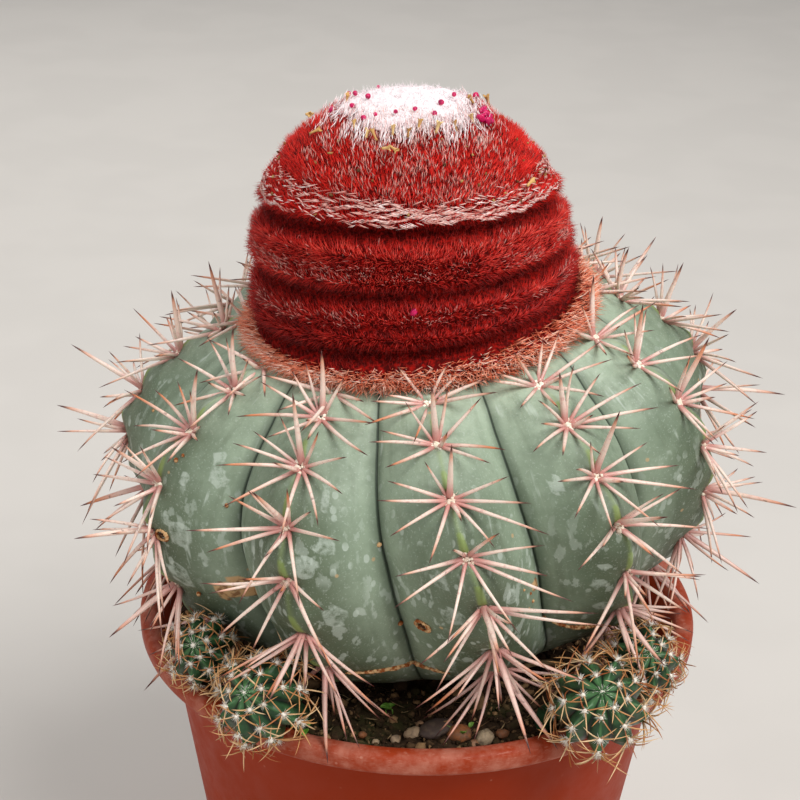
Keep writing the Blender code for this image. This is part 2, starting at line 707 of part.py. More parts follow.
def add_stem(centre, collection):
    """Mesh of an offset's stem, swept along its route."""
    route = stem_route(centre)
    curve = bpy.data.curves.new("stem", 'CURVE')
    curve.dimensions = '3D'
    curve.bevel_depth = STEM_RADIUS
    curve.bevel_resolution = 1
    curve.use_fill_caps = True
    spline = curve.splines.new('POLY')
    spline.points.add(len(route) - 1)
    for point, place in zip(spline.points, route):
        point.co = (*place, 1)
    guide = add_object("stem_guide", curve, collection)
    mesh = evaluated_mesh(guide)
    bpy.data.objects.remove(guide)
    bm = bmesh.new()
    bm.from_mesh(mesh)
    bmesh.ops.remove_doubles(bm, verts=bm.verts, dist=0.00001)
    return add_object("stem", mesh_from(bm, "stem"), collection)


def offset_turn(tilt, azimuth):
    """Rotation that leans an offset's axis by tilt degrees towards an azimuth."""
    return Matrix.Rotation(math.radians(azimuth), 3, 'Z') @ Matrix.Rotation(math.radians(tilt), 3, 'X')


def offset_point(radius, rib_share, latitude):
    """Point of an offset's skin in its own frame; rib_share is 0 on a crest and 0.5 in a furrow."""
    scale = 1 - OFFSET_RIB_DEPTH * (1 - abs(2 * (rib_share % 1) - 1)) * math.cos(math.radians(latitude))
    u = math.radians(latitude)
    height = radius * OFFSET_FLATTENING * math.sin(u)
    return polar(radius * scale * math.cos(u), 360 * rib_share / OFFSET_RIBS, height)


def offset_spine_is_clear(root, tip, own, others):
    """Whether an offset's spine stays off the pot, the body, its spines and the other offsets."""
    margin = OFFSET_SPINE_RADIUS + CLEARANCE
    for i in range(1, 9):
        point = root.lerp(tip, i / 8)
        local = BODY_TURN.transposed() @ (point - BODY_CENTRE)
        height = UPPER_HEIGHT if local.z > 0 else LOWER_HEIGHT
        reach = BODY_RADIUS + CREST_HUMP + margin
        inside = (local.x ** 2 + local.y ** 2) / reach ** 2 + (local.z / (height + margin)) ** 2 < 1
        if inside or not clear_of_pot(point, margin):
            return False
    for name, (centre, radius, _, _) in OFFSETS.items():
        middle = Vector(centre) * MM
        near = segment_distance(root, tip, middle, middle + Vector((0, 0, MM)))
        if name != own and near < radius * MM + margin + CLEARANCE:
            return False
    return all(segment_distance(root, tip, a, b) > reach + margin for a, b, reach in others)


def make_offset(name, parts, taken):
    """Small ribbed globe on a bent stem; taken lists the spines already in place."""
    centre, radius, tilt, azimuth = OFFSETS[name]
    turn = offset_turn(tilt, azimuth)
    middle = Vector(centre) * MM
    size = radius * MM

    def place(rib_share, latitude):
        return middle + turn @ offset_point(size, rib_share, latitude)

    rings = [[place(i / 2, latitude) for i in range(2 * OFFSET_RIBS)] for latitude in OFFSET_LATITUDES]
    ends = [middle + turn @ Vector((0, 0, sign * size * OFFSET_FLATTENING)) for sign in (0.97, -1)]
    globe = add_object(name, mesh_from(loft(rings, *ends), name), parts)
    fused = repeats_collection(f"{name}_repeats")
    add_stem(centre, fused)
    rng = random.Random(len(name))
    mine = []
    for rib in range(OFFSET_RIBS):
        for step, latitude in enumerate(OFFSET_AREOLES):
            root = place(rib, latitude + 6 * (rib % 2))
            outward = (root - middle).normalized()
            downward = -(turn @ Vector((0, 0, 1)))
            sideways = outward.cross(downward).normalized()
            side = rng.choice((-1, 1)) if step else 0
            direction = outward + downward * rng.uniform(*OFFSET_SPINE_FALL) + sideways * side * OFFSET_SPREAD
            tip = root + direction.normalized() * OFFSET_SPINE * rng.uniform(*OFFSET_SPINE_SHARES)
            if offset_spine_is_clear(root, tip, name, taken):
                add_spine(root - outward * MM, tip, OFFSET_SPINE_RADIUS, fused)
                mine.append((root, tip, OFFSET_SPINE_RADIUS))
    taken += mine
    fuse(globe, fused)
    finish(globe, new_material(f"{name}_skin", (0.035, 0.105, 0.045), 0.5))
    return globe


def main():
    for item in list(bpy.data.objects):
        bpy.data.objects.remove(item)
    parts = bpy.data.collections.new("potted_melocactus")
    cutters = bpy.data.collections.new("cutters")
    for collection in (parts, cutters):
        bpy.context.scene.collection.children.link(collection)
    make_pot(parts, cutters)
    make_soil(parts, cutters)
    spines = body_spines()
    make_body(parts, spines)
    make_cephalium(parts)
    make_crown(parts)
    taken = [(root, tip, SPINE_RADIUS) for root, tip in spines]
    for name in OFFSETS:
        make_offset(name, parts, taken)


main()
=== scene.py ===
"""Potted Melocactus concinnus: the looks of the plant, its soil and its pot.

Run as a script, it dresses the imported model. Numbers in capitals and shapes are millimetres unless
a comment says otherwise; settings are metres, as Blender shows them. Azimuths are degrees round
from the front (-Y) to the right (+X).
"""

import math

import bmesh
import bpy
import numpy as np
from bpy.props import FloatProperty, FloatVectorProperty, IntProperty, PointerProperty
from bpy.types import Operator, Panel, PropertyGroup
from mathutils import Matrix, Vector, noise


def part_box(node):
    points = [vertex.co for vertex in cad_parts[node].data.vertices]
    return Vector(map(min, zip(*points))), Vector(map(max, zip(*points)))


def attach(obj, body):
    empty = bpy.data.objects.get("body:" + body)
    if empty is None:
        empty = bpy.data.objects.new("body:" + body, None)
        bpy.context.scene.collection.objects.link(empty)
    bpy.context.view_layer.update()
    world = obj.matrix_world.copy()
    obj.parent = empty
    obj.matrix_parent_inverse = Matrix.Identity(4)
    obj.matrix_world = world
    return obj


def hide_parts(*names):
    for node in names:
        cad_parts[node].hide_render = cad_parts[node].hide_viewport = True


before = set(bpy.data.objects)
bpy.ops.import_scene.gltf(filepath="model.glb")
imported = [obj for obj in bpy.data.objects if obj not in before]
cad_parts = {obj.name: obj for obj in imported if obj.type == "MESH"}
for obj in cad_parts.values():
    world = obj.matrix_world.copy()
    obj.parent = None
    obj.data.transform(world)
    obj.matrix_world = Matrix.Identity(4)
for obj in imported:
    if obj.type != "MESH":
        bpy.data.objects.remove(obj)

bl_info = {
    "name": "Potted Melocactus",
    "version": (1, 0, 0),
    "blender": (4, 5, 0),
    "location": "View3D > Sidebar > Melocactus",
    "description": "Grows the skin, spines, bristles, wool, soil and pot of a potted melocactus",
    "category": "Add Mesh",
}

MM = 0.001

# The stage, in metres; the lights are a name, a place, a width and a part of the main light's power.
FLOOR_REACH = 3.0
FLOOR_GAP = 0.0003
SKY_COLOUR = (0.98, 0.98, 1.0, 1.0)
SKY_STRENGTH = 0.37
LIGHT_TARGET = (0.0, 0.0, 0.17)
LIGHTS = (
    ("key_light", (0.5, -0.56, 1.1), 0.6, 1.1),
    ("fill_light", (-0.8, -0.6, 0.6), 0.8, 0.22),
    ("back_light", (-0.25, 0.8, 0.9), 0.7, 0.35),
)
# What the camera looks at, and the width of its sensor, in millimetres again.
VIEW_CENTRE = (-4.9, 0.0, 162.4)
SENSOR_WIDTH = 36.0
# Nearest and farthest that the camera sees, in metres.
CLIPPING = (0.01, 20.0)

# Seeds of the random draws.
SOIL_SEED = 4
SCAR_SEED = 21
SPINE_SEED = 5
CAP_SEED = 11
CROWN_SEED = 14
OFFSET_SEED = 17

# The pot: its rim's radius and its height are those of the frame.
RIM_RADIUS, _, POT_HEIGHT = (round(value / MM, 2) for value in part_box("pot")[1])
RIM_BAND = 4.7
RIM_OVAL = 0.18
LIP_RADIUS = RIM_RADIUS - 3.9
WALL = 1.5
WALL_TOP_RADIUS = RIM_RADIUS - 6.9
WALL_TOP = POT_HEIGHT - 6.5
WALL_MIDDLE = 55
BASE_RADIUS = RIM_RADIUS - 23.0
FLOOR = 2.0
DRAIN_RADIUS = 4.0
DRAIN_RING = 27.0
DRAIN_COUNT = 4
POT_COLUMNS = 168
SHARP_ANGLE = 50
# Rows of the pot's section that lie inside it.
SECTION_INNER_ROWS = 8

# The soil and the litter on it.
SOIL_LEVEL = WALL_TOP
SOIL_SWELL = 0.55
SOIL_RADIUS = WALL_TOP_RADIUS - WALL - 0.25
SOIL_ROWS = 46
SOIL_COLUMNS = 230
LITTER_FROM = 30
SMALL_PER_LARGE = 16
LARGEST_SMALL_CRUMB = 0.75
LARGE_CRUMBS = (0.8, 1.7)
BARK_COUNT = 420
# Least radius and length of a chip of bark, and how much more the largest has.
BARK_RADIUS = (0.08, 0.3)
BARK_LENGTH = (1.5, 3.5)
ROOT_ROUTE = ((22.5, -25.0, 108.2), (26, -24.0, 109.3), (29.5, -24.6, 110.0), (33, -25.4, 110.2))
ROOT_RADII = (0.5, 0.75, 0.7, 0.35)
SCATTERED_PEBBLES = 18
PEBBLE_RING = (36, 52)
PEBBLE_SIZES = (0.9, 2.3)

# The globe: two unlike half ellipsoids, cut by ribs.
BODY_CENTRE = np.array((-1.0, 0.0, 156.0))
BODY_LEAN = (-5.5, -3.0)
BODY_RADIUS = 66.8
UPPER_HEIGHT = 34.0
LOWER_HEIGHT = 52.0
RIB_DEPTH = 0.17
RIB_CREST = 1.35
RIB_FURROW = 0.85
TOP_FADE = (0.6, 35, 60)
FOOT_FADE = (0.7, 20, 50)
CREST_HUMP = 1.7
HUMP_NOTCH = 0.45
HUMP_WIDTH = 0.6
TOP_SHIFT = 2.2
FOOT_RADIUS = 24.0
FOOT_DEPTHS = (50.5, 57.5)
LEVEL_ANGLES = (56, 53, 42, 27, 9, -8, -24, -38, -50, -60)
AREOLE_LEVELS = 7
RIB_FOOT_ANGLE = -45
# For each rib: shift of its areole levels, and its azimuth at the top, the middle and the foot.
RIBS = np.array((
    (0.0, 2.5, 10, 17),
    (0.25, 36.5, 38.5, 50),
    (0.1, 69, 69, 78),
    (-0.3, 102, 101, 108),
    (-0.2, 133, 132, 138),
    (-0.45, 164, 165, 169),
    (0.2, 195, 196, 201),
    (-0.1, 227, 230, 233),
    (-0.5, 263, 265, 268),
    (-0.35, 300.5, 302.5, 303),
    (-0.5, 332, 337, 338),
))
# Half the distance between two crests, and the distance between two areoles, on average.
HALF_RIB = 17.0
AREOLE_SPACING = 16.0
# Rows of the skin's mesh, and its columns from a crest out and up to a furrow, as parts of a rib.
SKIN_ROWS = 118
CREST_STEPS = (0.0, 0.01, 0.022, 0.038, 0.06)
FURROW_STEPS = (0.46, 0.475, 0.486, 0.495)
# Dent of an areole and its swollen edge: rise, distance from the areole and width.
AREOLE_RELIEF = ((-0.4, 0.0, 1.7), (0.16, 3.4, 1.4))
STRIP_RISE = 0.35
CORK_RISE = 0.5
# Heights between which the skin turns to cork near the soil.
CORKY_FOOT = (114.5, 109.5)

# Spines of an areole: turn from straight up, rise off the skin, length, thickness.
SPINE_LAYOUT = (
    (4, 62, 17.0, 1.6),
    (32, 46, 13.5, 0.95),
    (-33, 48, 12.5, 0.92),
    (64, 36, 14.0, 0.98),
    (-68, 36, 13.5, 0.98),
    (88, 29, 18.0, 1.08),
    (-89, 29, 17.0, 1.08),
    (113, 27, 19.5, 1.08),
    (-114, 28, 18.0, 1.08),
    (146, 30, 17.5, 1.02),
    (-154, 31, 16.0, 1.02),
    (165, 70, 9.5, 1.15),
)
SPINE_LOSS = 0.07
SPINE_GROWTH = (0.8, 1.28)
SPINE_DROOP = 0.85
SPINE_RING = 0.8
SPINE_SIDES = 7
SPINE_PROFILE = ((0.0, 1.15), (0.05, 1.2), (0.12, 1.02), (0.35, 0.92), (0.6, 0.74), (0.8, 0.5), (0.93, 0.24))
# A spine that would touch something is shortened to these parts, and turned outward in steps.
SPINE_SHORTENINGS = (1.0, 0.8, 0.62)
SPINE_TURNS = 8
SPINE_TURN = 0.13
# Room for the soil's bumps, how far spines may reach into the skirt, and room round the rim and the soil.
SOIL_BUMPS = 1.5
SKIRT_GIVE = 1.5
RIM_GAP = 0.4
SOIL_GAP = 0.5
# Radius inside which an offset's spine would touch the globe.
GLOBE_KEEP_OUT = 63.0
# Wool of an areole: knobs, hairs and their sizes; then the hairs on an offset's areole, and a hair's radius.
PAD_KNOBS = 13
KNOB_SIZES = (0.32, 0.55)
PAD_HAIRS = 70
PAD_HAIR_LENGTHS = (0.6, 1.4)
TUFT_HAIRS = 46
WOOL_RADIUS = 0.07

# Water marks and corky scars on the skin: rib, place from this crest to the next, level, width, height.
WATER_MARKS = (
    (9, 0.2, 3.85, 2.7, 3.0), (9, 0.14, 4.58, 2.2, 3.8), (9, 0.13, 3.55, 1.2, 1.3),
    (9, 0.32, 2.45, 1.3, 2.8), (9, 0.36, 2.75, 1.8, 1.8), (9, 0.17, 2.75, 1.3, 1.6),
    (10, 0.11, 3.62, 2.2, 2.5), (10, 0.2, 4.55, 2.2, 3.0), (10, 0.2, 2.45, 0.9, 3.4),
    (10, 0.21, 3.28, 1.9, 1.9), (10, 0.32, 4.5, 1.3, 1.5), (10, 0.82, 3.5, 1.8, 2.0),
    (10, 0.83, 4.15, 2.2, 2.4), (0, 0.74, 2.08, 1.5, 1.7), (0, 0.2, 3.95, 1.4, 1.8),
    (0, 0.81, 4.05, 1.9, 1.4), (0, 0.84, 4.6, 2.1, 1.6), (0, 0.85, 3.7, 1.2, 1.2), (1, 0.3, 4.0, 2.0, 2.4),
    (3, 0.3, 3.6, 2.2, 2.8), (4, 0.7, 4.4, 2.4, 2.0), (6, 0.25, 3.9, 2.6, 2.2), (7, 0.75, 4.5, 2.0, 3.0),
)
CORKY_SCARS = (
    (9, 0.44, 4.78, 4.3, 2.6), (9, 0.36, 4.85, 2.0, 2.0), (0, 0.42, 4.05, 1.6, 1.3),
    (5, 0.6, 5.0, 3.0, 2.0),
)
# Small corky warts, with their size, and ring scars.
WARTS = (
    (9, 0.08, 2.48, 0.55), (9, 0.1, 2.38, 0.4), (9, 0.43, 3.23, 0.5), (9, 0.18, 4.95, 0.6),
    (10, 0.485, 3.38, 0.5), (10, 0.49, 4.9, 0.55), (0, 0.3, 3.95, 0.3), (0, 0.35, 4.1, 0.35),
    (0, 0.41, 4.1, 0.35), (0, 0.36, 4.28, 0.4), (0, 0.31, 4.35, 0.28), (2, 0.4, 3.1, 0.5),
    (4, 0.35, 2.6, 0.45), (6, 0.6, 3.4, 0.5), (8, 0.3, 2.9, 0.4),
)
RING_BEADS = 20
BEAD_SIZES = (0.35, 0.5)
RING_SCARS = ((9, 0.09, 3.93, 1.5), (10, 0.65, 4.58, 1.6), (7, 0.3, 4.4, 1.3))
# Torn, corky edges where the globe meets the soil: rib, then pairs of place and level.
CORKY_EDGES = (
    (10, ((0.1, 6.15), (0.2, 6.1), (0.3, 6.05), (0.42, 6.0), (0.5, 5.95), (0.62, 5.95), (0.72, 6.0))),
    (0, ((0.5, 5.0), (0.58, 5.15), (0.66, 5.25), (0.76, 5.3), (0.86, 5.35), (0.95, 5.5))),
    (3, ((0.2, 6.1), (0.35, 6.0), (0.55, 6.1))),
    (7, ((0.4, 6.2), (0.55, 6.0), (0.7, 6.1), (0.8, 6.1))),
)

# The cap: height along its axis and radius of its outline.
CEPHALIUM_PROFILE = (
    (3.2, 36.0), (4.2, 34.7), (6.6, 35.3), (10.6, 35.1), (14.3, 33.7), (17.5, 34.6), (22.3, 34.3),
    (25.3, 32.5), (27.1, 33.2), (30.4, 32.0), (34.2, 29.8), (38.1, 26.9), (41.5, 23.0), (45.2, 16.4),
    (47.3, 10.6), (48.4, 5.5), (48.8, 0.0),
)
# Folds of the fur: height, width, and how far it swells out.
CAP_FOLDS = (
    (27.5, 1.2, 0.2), (24.9, 1.0, -1.7), (21.5, 2.2, 0.5), (16.6, 1.4, 0.5), (14.0, 0.9, -1.3),
    (11.6, 1.2, 0.25), (8.9, 0.6, -0.5), (7.2, 1.2, 0.3), (4.4, 0.9, -1.0),
)
# The folds sway up and down round the cap: rise, turns round it and phase in degrees.
FOLD_SWAYS = ((0.3, 2, 30), (0.2, 5, 0))
# The cap is a little flatter on its right, from one height to another.
FLAT_SIDE = 2.2
FLAT_FROM = (10, 24)
FLAT_TO = (48, 42)
# How far the felt lies under the fur's outline.
FUR_DEPTH = 1.7
CEPHALIUM_BASE = np.array((1.2, 0.0, 28.8))
# Part of the height, lean to the right and lean to the back.
CEPHALIUM_LEANS = np.array((
    (0.0, -7.5, -3.0), (0.1, -7.5, -1.0), (0.3, -5.0, 3.0), (0.52, -3.0, 6.5), (1.0, 0.0, 8.0),
))
AXIS_LEAN = -0.8
AXIS_STEPS = 50
CROWN_HEIGHT = 48.8
SKIRT_CENTRE = np.array((2.6, 0.0, 28.8))
SKIRT_RADIUS = 38.6
SKIRT_TILT = (-3.0, 0.0)
# Edge of the skirt's core: radius, height and part of the tilt.
SKIRT_EDGE = ((35.2, 0.05, 0.0), (36.4, 0.1, 0.0), (37.2, 0.7, 0.3), (37.2, 2.0, 0.8), (35.6, 2.6, 1.0))
SKIRT_COUNT = 12000
SKIRT_RING = (34.2, 37.3)
SKIRT_HEIGHTS = (-0.3, 2.4)
SKIRT_LENGTHS = (2.2, 4.6)
SKIRT_RADII = (0.11, 0.19)
# Heights on the cap between which the bristles, the flecks, the debris and the crown's hairs grow.
LOWER_FUR = (3.4, 25.6)
UPPER_FUR = (25.3, 48.2)
FLECK_BAND = (30.5, 46.5)
DEBRIS_BAND = (28, 42)
FLUFF_BAND = (43.2, 48.75)
STREAK_BAND = (39.5, 46.5)
# Wool between the bristles: flecks on the dome, a band of braids over the fold, and tufts below it.
FLECK_COUNT = 15000
BRAID_HEIGHT = 27.3
BRAID_STEP = 0.78
BRAID_DENSITIES = (1.0, 0.95, 0.85, 0.7, 0.5, 0.3)
BRAID_LENGTHS = (1.3, 2.6)
BRAID_RADII = (0.08, 0.14)
# Lowest and highest place of the tufts, their number and how thick they grow.
TUFT_BANDS = ((17.2, 20.0, 3000, 0.35), (9.8, 12.4, 2400, 0.2), (21.0, 24.0, 1400, 0.1))
DEBRIS_COUNT = 90
DEBRIS_SIZES = (0.18, 0.42)
# Edge of the crown's wool: height, how much higher it is at both sides, and how much more at the right.
WOOL_EDGE = (43.2, 2.9, 0.7)
FLUFF_COUNT = 7000
FLUFF_LENGTHS = (0.7, 1.5)
FLUFF_RADII = (0.07, 0.12)
STREAK_COUNT = 7500
STREAK_LENGTHS = (1.3, 2.6)
STREAK_RADII = (0.07, 0.13)

# Azimuths and heights on the cap of the fruits and the dried flowers.
FRUITS = (
    (-56.2, 47.1), (-54.2, 45.6), (-27.0, 44.9), (-13.5, 45.5), (0.5, 46.0), (26.0, 46.8), (57.0, 47.6),
    (-33.5, 44.2), (14.0, 45.3), (-88.0, 46.8), (96.0, 46.6), (124.0, 45.2), (158.0, 46.0), (187.0, 45.3),
    (214.0, 46.4), (239.0, 45.4),
)
FRUIT_SHREDS = (
    (52, 44.2), (55, 44.8), (50, 43.3), (57, 44.2), (47, 43.9), (54, 43.2), (60, 45.0), (-70, 44.4),
    (0.5, 12.3),
)
DRIED_FLOWERS = (
    (-25.2, 41.8), (-18.8, 41.5), (-11.5, 42.4), (-3.2, 42.1), (2.2, 43.3), (12.2, 42.8), (24.8, 42.9),
    (40.2, 43.8), (-36.0, 43.0), (70.2, 46.4), (-84.0, 46.0), (112.0, 44.1), (139.0, 43.1), (166.0, 42.7),
    (199.0, 43.0), (231.0, 43.9),
)
FALLEN_FLOWERS = (
    (-14.0, 39.8), (-10.5, 40.1), (-79.5, 42.9), (-58.0, 40.6), (47.0, 31.5), (150.0, 40.5), (205.0, 38.5),
)

FRUIT_SIZES = (0.36, 0.64)
SHRED_SIZES = (0.5, 0.95)
FLOWER_LENGTHS = (1.7, 2.7)
# Part of a dried flower's length, and its radius there; the last two lie inside its mouth.
FLOWER_PROFILE = (
    (0.0, 0.36), (0.3, 0.28), (0.6, 0.34), (0.82, 0.5), (0.95, 0.66), (1.0, 0.72), (0.93, 0.5), (0.6, 0.15),
)

# Offsets: centre and radius, lean and azimuth of the axis in degrees.
OFFSETS = {
    "offset_left_upper": ((-45.9, -40.6, 121.6), 7.3, 50, -14),
    "offset_left_lower": ((-31.9, -58.7, 121.4), 9.2, 50, -29),
    "offset_right_front": ((37.3, -58.2, 121.5), 9.7, 39, -4),
    "offset_right_upper": ((47.6, -40.9, 120.9), 8.0, 42, 16),
}
OFFSET_RIBS = 9
OFFSET_FLATTENING = 0.93
OFFSET_RIB_DEPTH = 0.27
# Full length of an offset's spines, when its radius is the usual one.
OFFSET_SPINE_LENGTHS = (5.0, 8.6)
OFFSET_USUAL_RADIUS = 9
OFFSET_SPINE_SIDES = 5
# Areoles down each rib: latitude, size of the tuft, number of spines and their part of the full length.
OFFSET_AREOLES = ((60, 0.7, 4, 0.6), (32, 0.85, 6, 0.85), (4, 1.0, 7, 1.0), (-22, 0.8, 7, 1.05))
OFFSET_SPINE_PROFILE = ((0.0, 1.3), (0.15, 1.0), (0.4, 0.9), (0.65, 0.75), (0.85, 0.45))
STEM_ROUTE = ((60.4, 116.4), (56.0, 113.2), (52.0, 109.3), (50.5, 101.6))
STEM_RADIUS = 2.3

# Pebbles: place, size, tone, and how flat each one is.
PEBBLES = (
    (-0.6, -47.4, 1.9, 0.88, 0.8), (4.2, -47.0, 3.1, 0.04, 0.5), (9.2, -47.9, 2.5, 0.5, 0.8),
    (14.6, -48.2, 2.3, 1.0, 0.9), (6.9, -45.6, 1.3, 0.25, 0.8), (-4.4, -49.3, 1.2, 0.9, 0.8),
    (12.2, -50.0, 1.1, 0.6, 0.8), (18.4, -46.4, 1.5, 0.4, 0.8), (-11.4, -48.0, 1.1, 0.5, 0.8),
    (-8.6, -50.6, 0.9, 0.95, 0.8), (1.0, -43.6, 1.0, 0.7, 0.8),
)
# Leaves of seedlings and weeds: place, length, azimuth and rise of the blade in degrees.
LEAVES = (
    (-5.2, -39.4, 106.6, 3.0, -75, 12), (-6.6, -39.6, 106.6, 2.4, 100, 20),
    (9.9, -49.0, 107.3, 2.2, 20, 35), (7.2, -46.8, 107.0, 1.9, -60, 40), (11.4, -46.0, 106.8, 1.6, 130, 30),
    (-24.6, -55.4, 112.6, 3.4, 60, 20), (-26.2, -54.0, 112.2, 3.2, -20, 25),
    (-23.6, -56.8, 113.0, 2.8, 10, -5), (-27.6, -56.2, 112.9, 3.0, -80, 15),
    (33.5, 38.0, 106.6, 2.6, 20, 25), (32.0, 39.0, 106.6, 2.4, 190, 20),
)


# Colours and settings.


def srgb(code):
    """Linear colour, with alpha, of an sRGB hex code."""
    values = [int(code[i:i + 2], 16) / 255 for i in (0, 2, 4)]
    return (*(v / 12.92 if v <= 0.04045 else ((v + 0.055) / 1.055) ** 2.4 for v in values), 1.0)


def shaded(colour, part):
    """A colour at a part of its brightness."""
    return tuple(part * value for value in colour[:3]) + (1.0,)


def swatch(name, description, code):
    """Colour setting, its default given as an sRGB hex code."""
    return FloatVectorProperty(name=name, description=description, subtype='COLOR', size=4, min=0.0, max=1.0,
                               default=srgb(code))


def length(name, description, default):
    """Length setting, in metres."""
    return FloatProperty(name=name, description=description, subtype='DISTANCE', unit='LENGTH', min=0.0,
                         default=default)


class PotSettings(PropertyGroup):
    """Finish of the pot and of the soil in it"""
    wall_colour: swatch("Wall", "Colour of the moulded wall", "962d06")
    rim_colour: swatch("Rim", "Colour of the rubbed rim", "933418")
    lime_colour: swatch("Lime", "Colour of the dried lime film", "c68c78")
    lime_amount: FloatProperty(
        name="Lime Amount", description="How strongly the lime film covers the rim", subtype='FACTOR',
        min=0.0, max=1.0, default=0.24)
    soil_colour: swatch("Soil", "Colour of the damp potting soil", "35271b")
    crumb_colour: swatch("Dry Crumbs", "Colour of the driest crumbs", "9c7a56")
    moss_colour: swatch("Moss", "Colour of the algae on the soil", "3c4421")
    crumb_count: IntProperty(name="Crumbs", description="Number of soil crumbs", min=0, default=3600)


class BodySettings(PropertyGroup):
    """Finish of the globe and its spines"""
    bloom_colour: swatch("Bloom", "Young skin under its wax bloom", "a9b9a2")
    skin_colour: swatch("Skin", "Skin where the bloom is thin", "62725c")
    old_skin_colour: swatch("Old Skin", "Old skin near the soil", "4c5740")
    # Painted shade in the furrows of the globe.
    furrow_shade_colour: swatch("Furrow", "Bottom of the furrows", "1c2a1d")
    crest_colour: swatch("Crest", "Strip above each areole", "86994f")
    water_mark_colour: swatch("Water Marks", "Dried water marks", "c3cec2")
    cork_colour: swatch("Cork", "Corky scars", "c9a274")
    spine_colour: swatch("Spine", "Middle of the spines", "ecd5c6")
    spine_base_colour: swatch("Spine Base", "Base of the spines", "c68b82")
    spine_amber_colour: swatch("Spine Flush", "Amber flush near the tips", "c9733f")
    spine_tip_colour: swatch("Spine Tip", "Tips of the spines", "481811")
    wool_colour: swatch("Areole Wool", "Wool in the areoles", "eadcc6")
    spine_radius: length("Spine Radius", "Radius of a spine near its base", 0.41 * MM)
    spine_scale: FloatProperty(
        name="Spine Length", description="Length of the spines, against their usual length", subtype='FACTOR',
        min=0.1, max=1.1, default=1.0)


class CephaliumSettings(PropertyGroup):
    """Finish of the bristly cap and its crown"""
    bristle_colour: swatch("Young Bristles", "Bristles of the dome", "de1f18")
    old_bristle_colour: swatch("Old Bristles", "Older bristles below it", "c81c12")
    # Dark felt, also the darkest tone of the bristles, which painted shade in the folds and on the sides
    # takes them to.
    felt_and_shade_colour: swatch("Depth", "Felt between the bristles", "4c0806")
    fleck_colour: swatch("Flecks", "Wool between the bristles", "e6b3a6")
    skirt_colour: swatch("Skirt", "Weathered bristles of the skirt", "f28c66")
    straw_colour: swatch("Straw", "Bleached bristles of the skirt", "fbe6d6")
    wool_colour: swatch("Wool", "Wool of the crown", "e8dadb")
    fruit_colour: swatch("Fruit", "Tips of the fruits", "c8145a")
    flower_colour: swatch("Dried Flowers", "Dried flower tubes", "d3a765")
    bristle_radius: length("Bristle Radius", "Radius of a bristle at its root", 0.105 * MM)
    bristle_length: length("Bristle Length", "Length of a bristle", 3.2 * MM)
    bristle_count: IntProperty(
        name="Bristles", description="Number of bristles in each half of the cap", min=0, default=34000)


class OffsetSettings(PropertyGroup):
    """Finish of the offsets"""
    skin_colour: swatch("Skin", "Skin of the offsets", "25462b")
    # Painted shade in the furrows of the offsets.
    furrow_shade_colour: swatch("Furrow", "Their furrows", "0c1a10")
    crest_colour: swatch("Crest", "Lines that run out from the top", "4f7a4a")
    spine_colour: swatch("Spines", "Their spines", "c9935c")
    wool_colour: swatch("Wool", "Wool in their areoles", "e9dfcf")
    spine_radius: length("Spine Radius", "Radius of their spines", 0.17 * MM)


class StageSettings(PropertyGroup):
    """Floor, camera and light"""
    floor_colour: swatch("Floor", "Colour of the floor", "cfcac3")
    lens: FloatProperty(
        name="Lens", description="Focal length on a sensor 36 mm wide", subtype='DISTANCE_CAMERA',
        unit='CAMERA', min=10.0, default=86.67)
    distance: FloatProperty(
        name="Distance", description="From the camera to what it looks at", subtype='DISTANCE', unit='LENGTH',
        min=0.1, default=0.43)
    pitch: FloatProperty(
        name="Pitch", description="How far the camera looks down", subtype='ANGLE', unit='ROTATION',
        default=math.radians(25.0))
    roll: FloatProperty(
        name="Roll", description="Sideways tilt of the camera", subtype='ANGLE', unit='ROTATION',
        default=math.radians(1.2))
    light: FloatProperty(
        name="Light", description="Power of the main light", subtype='POWER', unit='POWER', min=0.0,
        default=13.2)


# Shapes of the plant.


def unit(vectors):
    """Vectors scaled to length 1."""
    return vectors / np.maximum(np.linalg.norm(vectors, axis=-1, keepdims=True), 1e-12)


def polar(radius, azimuth, height):
    """Points at a radius, an azimuth in degrees and a height."""
    angle = np.radians(azimuth)
    return np.stack(np.broadcast_arrays(radius * np.sin(angle), -radius * np.cos(angle), height), axis=-1)


def lean(to_right, to_back):
    """Rotations that lean +Z to +X and to +Y by the given degrees."""
    a, b = np.broadcast_arrays(np.radians(to_right), np.radians(to_back))
    ca, sa, cb, sb = np.cos(a), np.sin(a), np.cos(b), np.sin(b)
    rows = ((ca, -sa * sb, sa * cb), (0 * ca, cb, sb), (-sa, -ca * sb, ca * cb))
    return np.stack([np.stack(row, axis=-1) for row in rows], axis=-2)


def turned(azimuth, tilt):
    """Rotation that tilts about X and then turns about Z, both in degrees."""
    about_z = Matrix.Rotation(math.radians(azimuth), 3, 'Z')
    return np.array(about_z @ Matrix.Rotation(math.radians(tilt), 3, 'X'))


def circle(count):
    """Azimuths evenly spaced round the axis."""
    return np.arange(count) * 360 / count


def ripple(azimuth, turns=1, phase=0):
    """Sine that runs through some turns round the axis, its phase in degrees."""
    return np.sin(np.radians(azimuth * turns + phase))


BODY_TURN = lean(*BODY_LEAN)


def smooth(low, high, value):
    """Smooth step from 0 at low to 1 at high."""
    t = np.clip((value - low) / (high - low), 0.0, 1.0)
    return t * t * (3.0 - 2.0 * t)


def along(values, position):
    """Value on a smooth curve through evenly spaced values, at fractional indices."""
    values, position = np.asarray(values, float), np.asarray(position, float)
    padded = np.concatenate(([2 * values[0] - values[1]], values, [2 * values[-1] - values[-2]]))
    index = np.clip(np.floor(position).astype(int), 0, len(values) - 2)
    t = position - index
    before, a, b, after = (padded[index + i] for i in range(4))
    return (a * (1 + 2 * t) * (1 - t) ** 2 + b * t * t * (3 - 2 * t)
            + (b - before) / 2 * t * (1 - t) ** 2 - (after - a) / 2 * t * t * (1 - t))


